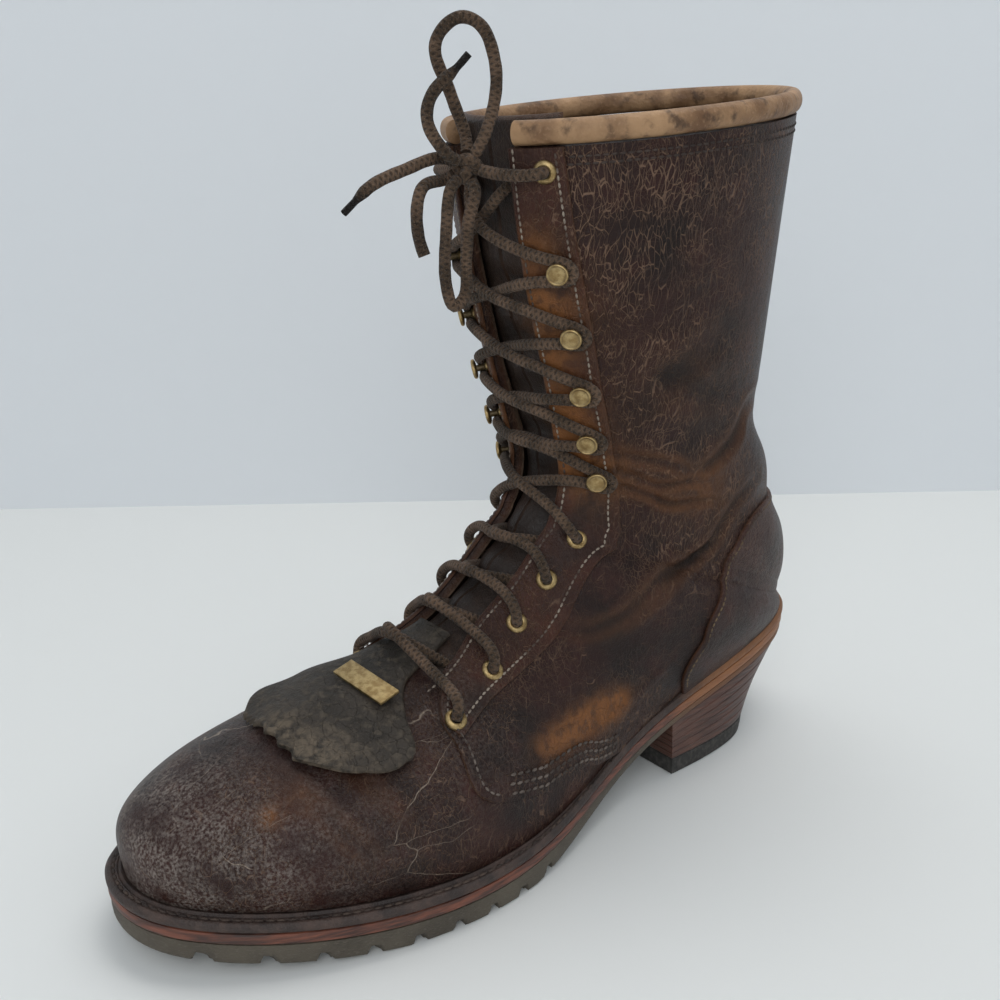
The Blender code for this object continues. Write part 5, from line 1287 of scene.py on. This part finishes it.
def lace_tube(name, path, radii=None, sides=14):
    """A round tube on a path. A frame is carried along it, turned no more than the path turns, and three
    marks let the finish draw the braid: the way along it and the cosine and sine of thrice the turn."""
    ahead = unit(np.gradient(path, axis=0))
    beside = np.zeros(path.shape)
    beside[0] = np.cross(ahead[0], (0.31, 0.52, 0.79))
    for i in range(1, len(path)):
        beside[i] = unit(beside[i - 1] - ahead[i] * (beside[i - 1] @ ahead[i]))
    beside[0] = unit(beside[0])
    above = np.cross(ahead, beside)
    turn = np.linspace(0, 2 * math.pi, sides + 1)[:-1]
    radii = np.full(len(path), LACE / 2) if radii is None else radii
    spoke = beside[:, None] * np.cos(turn)[:, None] + above[:, None] * np.sin(turn)[:, None]
    rings = path[:, None] + spoke * radii[:, None, None]
    marks = {"run": np.repeat(run_along(path), sides), "turn_cos": np.tile(np.cos(3 * turn), len(path)),
             "turn_sin": np.tile(np.sin(3 * turn), len(path)),
             "tip": np.repeat(np.clip(1 - radii / (LACE / 2), 0, 0.4) / 0.4, sides)}
    faces = woven_rings(len(path), sides).tolist()
    faces += [list(range(sides))[::-1], list(range((len(path) - 1) * sides, len(path) * sides))]
    return cleaned(mesh_object(name, rings, faces, marks), 1e-7, 60)


cotton = Finish("waxed_cotton")
along_it = cotton.mark("run") * 3100
even = cotton.mark("turn_cos") * along_it.math("COSINE")
odd = cotton.mark("turn_sin") * along_it.math("SINE")
braid = (even - odd).math("MAXIMUM", even + odd)
fluff, grime = cotton.noise(1900, 3), cotton.noise(90, 4)
tone = cotton.mix(grime.between(0.35, 0.65), (0.055, 0.036, 0.023), (0.155, 0.098, 0.064))
# Painted shade: near black in the grooves between the braid's strands.
tone = cotton.mix(braid.between(0.2, -0.5) * 0.6, tone, (0.012, 0.008, 0.006))
tone = cotton.mix(fluff.between(0.52, 0.72) * 0.5, tone, (0.24, 0.165, 0.11))
tone = cotton.mix(cotton.mark("tip"), tone, (0.012, 0.009, 0.008))
waxed_cotton = cotton.done(tone, 0.88, cotton.bump(fluff, 0.0006, cotton.bump(braid, 0.0004)),
                            Sheen_Weight=0.1, Specular_IOR_Level=0.12)


def lace_spot(s, side, reach, height, ahead=0.0):
    """A place over the boot, given by its distance from the ridge and a distance along from s."""
    u = float(across(s, reach))
    s = s + ahead / (np.linalg.norm(last(s + 0.002, u, side) - last(s - 0.002, u, side)) / 0.004)
    return drawn_over(s, float(across(s, reach)), side, height)


def knot_face(point):
    """Where a cord that runs straight between the point and the knot's middle meets the knot."""
    heading = np.asarray(point) - KNOT
    return np.array(KNOT) + heading * (KNOT_RADIUS + 0.00005) / np.linalg.norm(heading)


# How high the strands cross between one pair of lace rows and the next, from the toe up.
CROSSING_LEVEL = (0.0066, 0.0052, 0.0016, 0.0012, 0.0016, 0.0014, 0.0014, 0.0014, 0.0016, 0.0020)
over = FACE_TOP + LACE / 2
strands = []
for start, _ in SIDES:
    way = []
    for i, s in enumerate(LACE_ROWS):
        side, row, gap = start * (-1)**i, float(row_reach(s)), float(facing_gap(s))
        if s in HOOK_S:
            turns = ((gap, over - 0.0002, -0.0062), (row - 0.0008, over, -0.0036),
                     (row + 0.0024, over, -0.0023), (row + 0.0033, over, 0.0), (row + 0.0024, over, 0.0023),
                     (row - 0.0008, over, 0.0036), (gap, over - 0.0002, 0.0066))
        else:
            turns = ((gap - 0.0030, -0.0022, -0.0050), (gap + 0.0016, -0.0050, -0.0032),
                     (row - 0.0016, -0.0052, -0.0008), (row, -0.0020, 0.0), (row, FACE_TOP, 0.0),
                     (row - 0.0014, over + 0.0006, 0.0020), (gap + 0.001, over, 0.0085))
        way += [lace_spot(s, side, *turn) for turn in turns]
        if i + 1 < len(LACE_ROWS):
            level = CROSSING_LEVEL[i] + LACE / 2 + 0.0016 * start * (-1)**i
            way.append(lace_spot((s + LACE_ROWS[i + 1]) / 2, side, 0.0003, level))
    way = way[4:-2] + [lace_spot(TOP_EYELET_S, side, 0.0150, over + 0.0014)]
    strands.append(even_path(way + [knot_face(way[-1])]))
first, second = (lace_tube("strand", path) for path in strands)
work = bmesh.new()
work.from_mesh(first.data)
work.from_mesh(second.data)
work.to_mesh(first.data)
work.free()
bpy.data.objects.remove(second)
first.name = "laced_strands"
first.data.shade_smooth()
dressed(first, waxed_cotton, "lace", "lace_crossings")

# Knot and bow.
# The lace is tied in a bow at the collar: one long loop stands up, one hangs, with a short bight beside it
# and two ends, whose tips are dark, twisted and stiff.
turn = np.linspace(0, 2 * math.pi, 90)[:-1]
trefoil = np.stack([0.9 * (np.sin(turn) + 2 * np.sin(2 * turn)), 1.45 * np.sin(3 * turn),
                    np.cos(turn) - 2 * np.cos(2 * turn)], 1) * 0.00135 + KNOT
dressed(lace_tube("tied_knot", trefoil), waxed_cotton, "lace", "lace_knot")
LOOP_UP = ((0.0096, -0.1062, 0.2606), (0.0105, -0.1020, 0.2700), (0.0110, -0.1000, 0.2820),
           (0.0100, -0.1010, 0.2910), (0.0080, -0.1040, 0.2980), (0.0040, -0.1090, 0.3005),
           (0.0010, -0.1130, 0.2980), (-0.0010, -0.1160, 0.2920), (-0.0010, -0.1150, 0.2860),
           (0.0000, -0.1125, 0.2800), (0.0008, -0.1100, 0.2730), (0.0018, -0.1062, 0.2613))
LOOP_DOWN = ((0.0050, -0.1154, 0.2469), (0.0053, -0.1175, 0.2410), (0.0060, -0.1190, 0.2320),
             (0.0060, -0.1200, 0.2220), (0.0065, -0.1195, 0.2120), (0.0070, -0.1170, 0.2070),
             (0.0075, -0.1140, 0.2090), (0.0080, -0.1125, 0.2190), (0.0085, -0.1120, 0.2290),
             (0.0094, -0.1113, 0.2380), (0.0101, -0.1094, 0.2454))
BIGHT = ((-0.0019, -0.1131, 0.2490), (-0.0027, -0.1168, 0.2485), (-0.0018, -0.1225, 0.2470),
         (-0.0007, -0.1258, 0.2415), (-0.0005, -0.1263, 0.2340), (0.0000, -0.1255, 0.2280),
         (0.0010, -0.1248, 0.2245))
END_UP = ((0.0059, -0.1165, 0.2571), (0.0046, -0.1203, 0.2615), (0.0028, -0.1228, 0.2680),
          (0.0032, -0.1225, 0.2740), (0.0050, -0.1200, 0.2790), (0.0080, -0.1165, 0.2830),
          (0.0120, -0.1120, 0.2890))
END_SIDE = ((-0.0030, -0.1120, 0.2560), (-0.0062, -0.1165, 0.2555), (-0.0085, -0.1235, 0.2530),
            (-0.0103, -0.1310, 0.2505), (-0.0120, -0.1380, 0.2470), (-0.0140, -0.1420, 0.2430),
            (-0.0170, -0.1450, 0.2390))
CORDS = (("loop_up", LOOP_UP, "knot", "medium"), ("loop_down", LOOP_DOWN, "knot", "limp"),
         ("bight", BIGHT, "bare", "limp"), ("end_up", END_UP, "bare", "medium"),
         ("end_side", END_SIDE, "bare", "medium"))
for name, route, far, stiffness in CORDS:
    way = [knot_face(route[0]), *route] + ([knot_face(route[-1])] if far == "knot" else [])
    path = even_path(way)
    length = float(np.linalg.norm(np.diff(path, axis=0), axis=1).sum())
    to_tip = length - np.linspace(0, length, len(path))
    radii = LACE / 2 * (1 + 0.02 * np.sin(to_tip * 900))
    if name.startswith("end"):
        radii *= 1 - 0.4 * np.clip((0.010 - to_tip) / 0.004, 0, 1)
    piece = lace_tube("lace_" + name + "_braid", path, radii)
    dressed(piece, waxed_cotton, "lace", "lace_" + name)
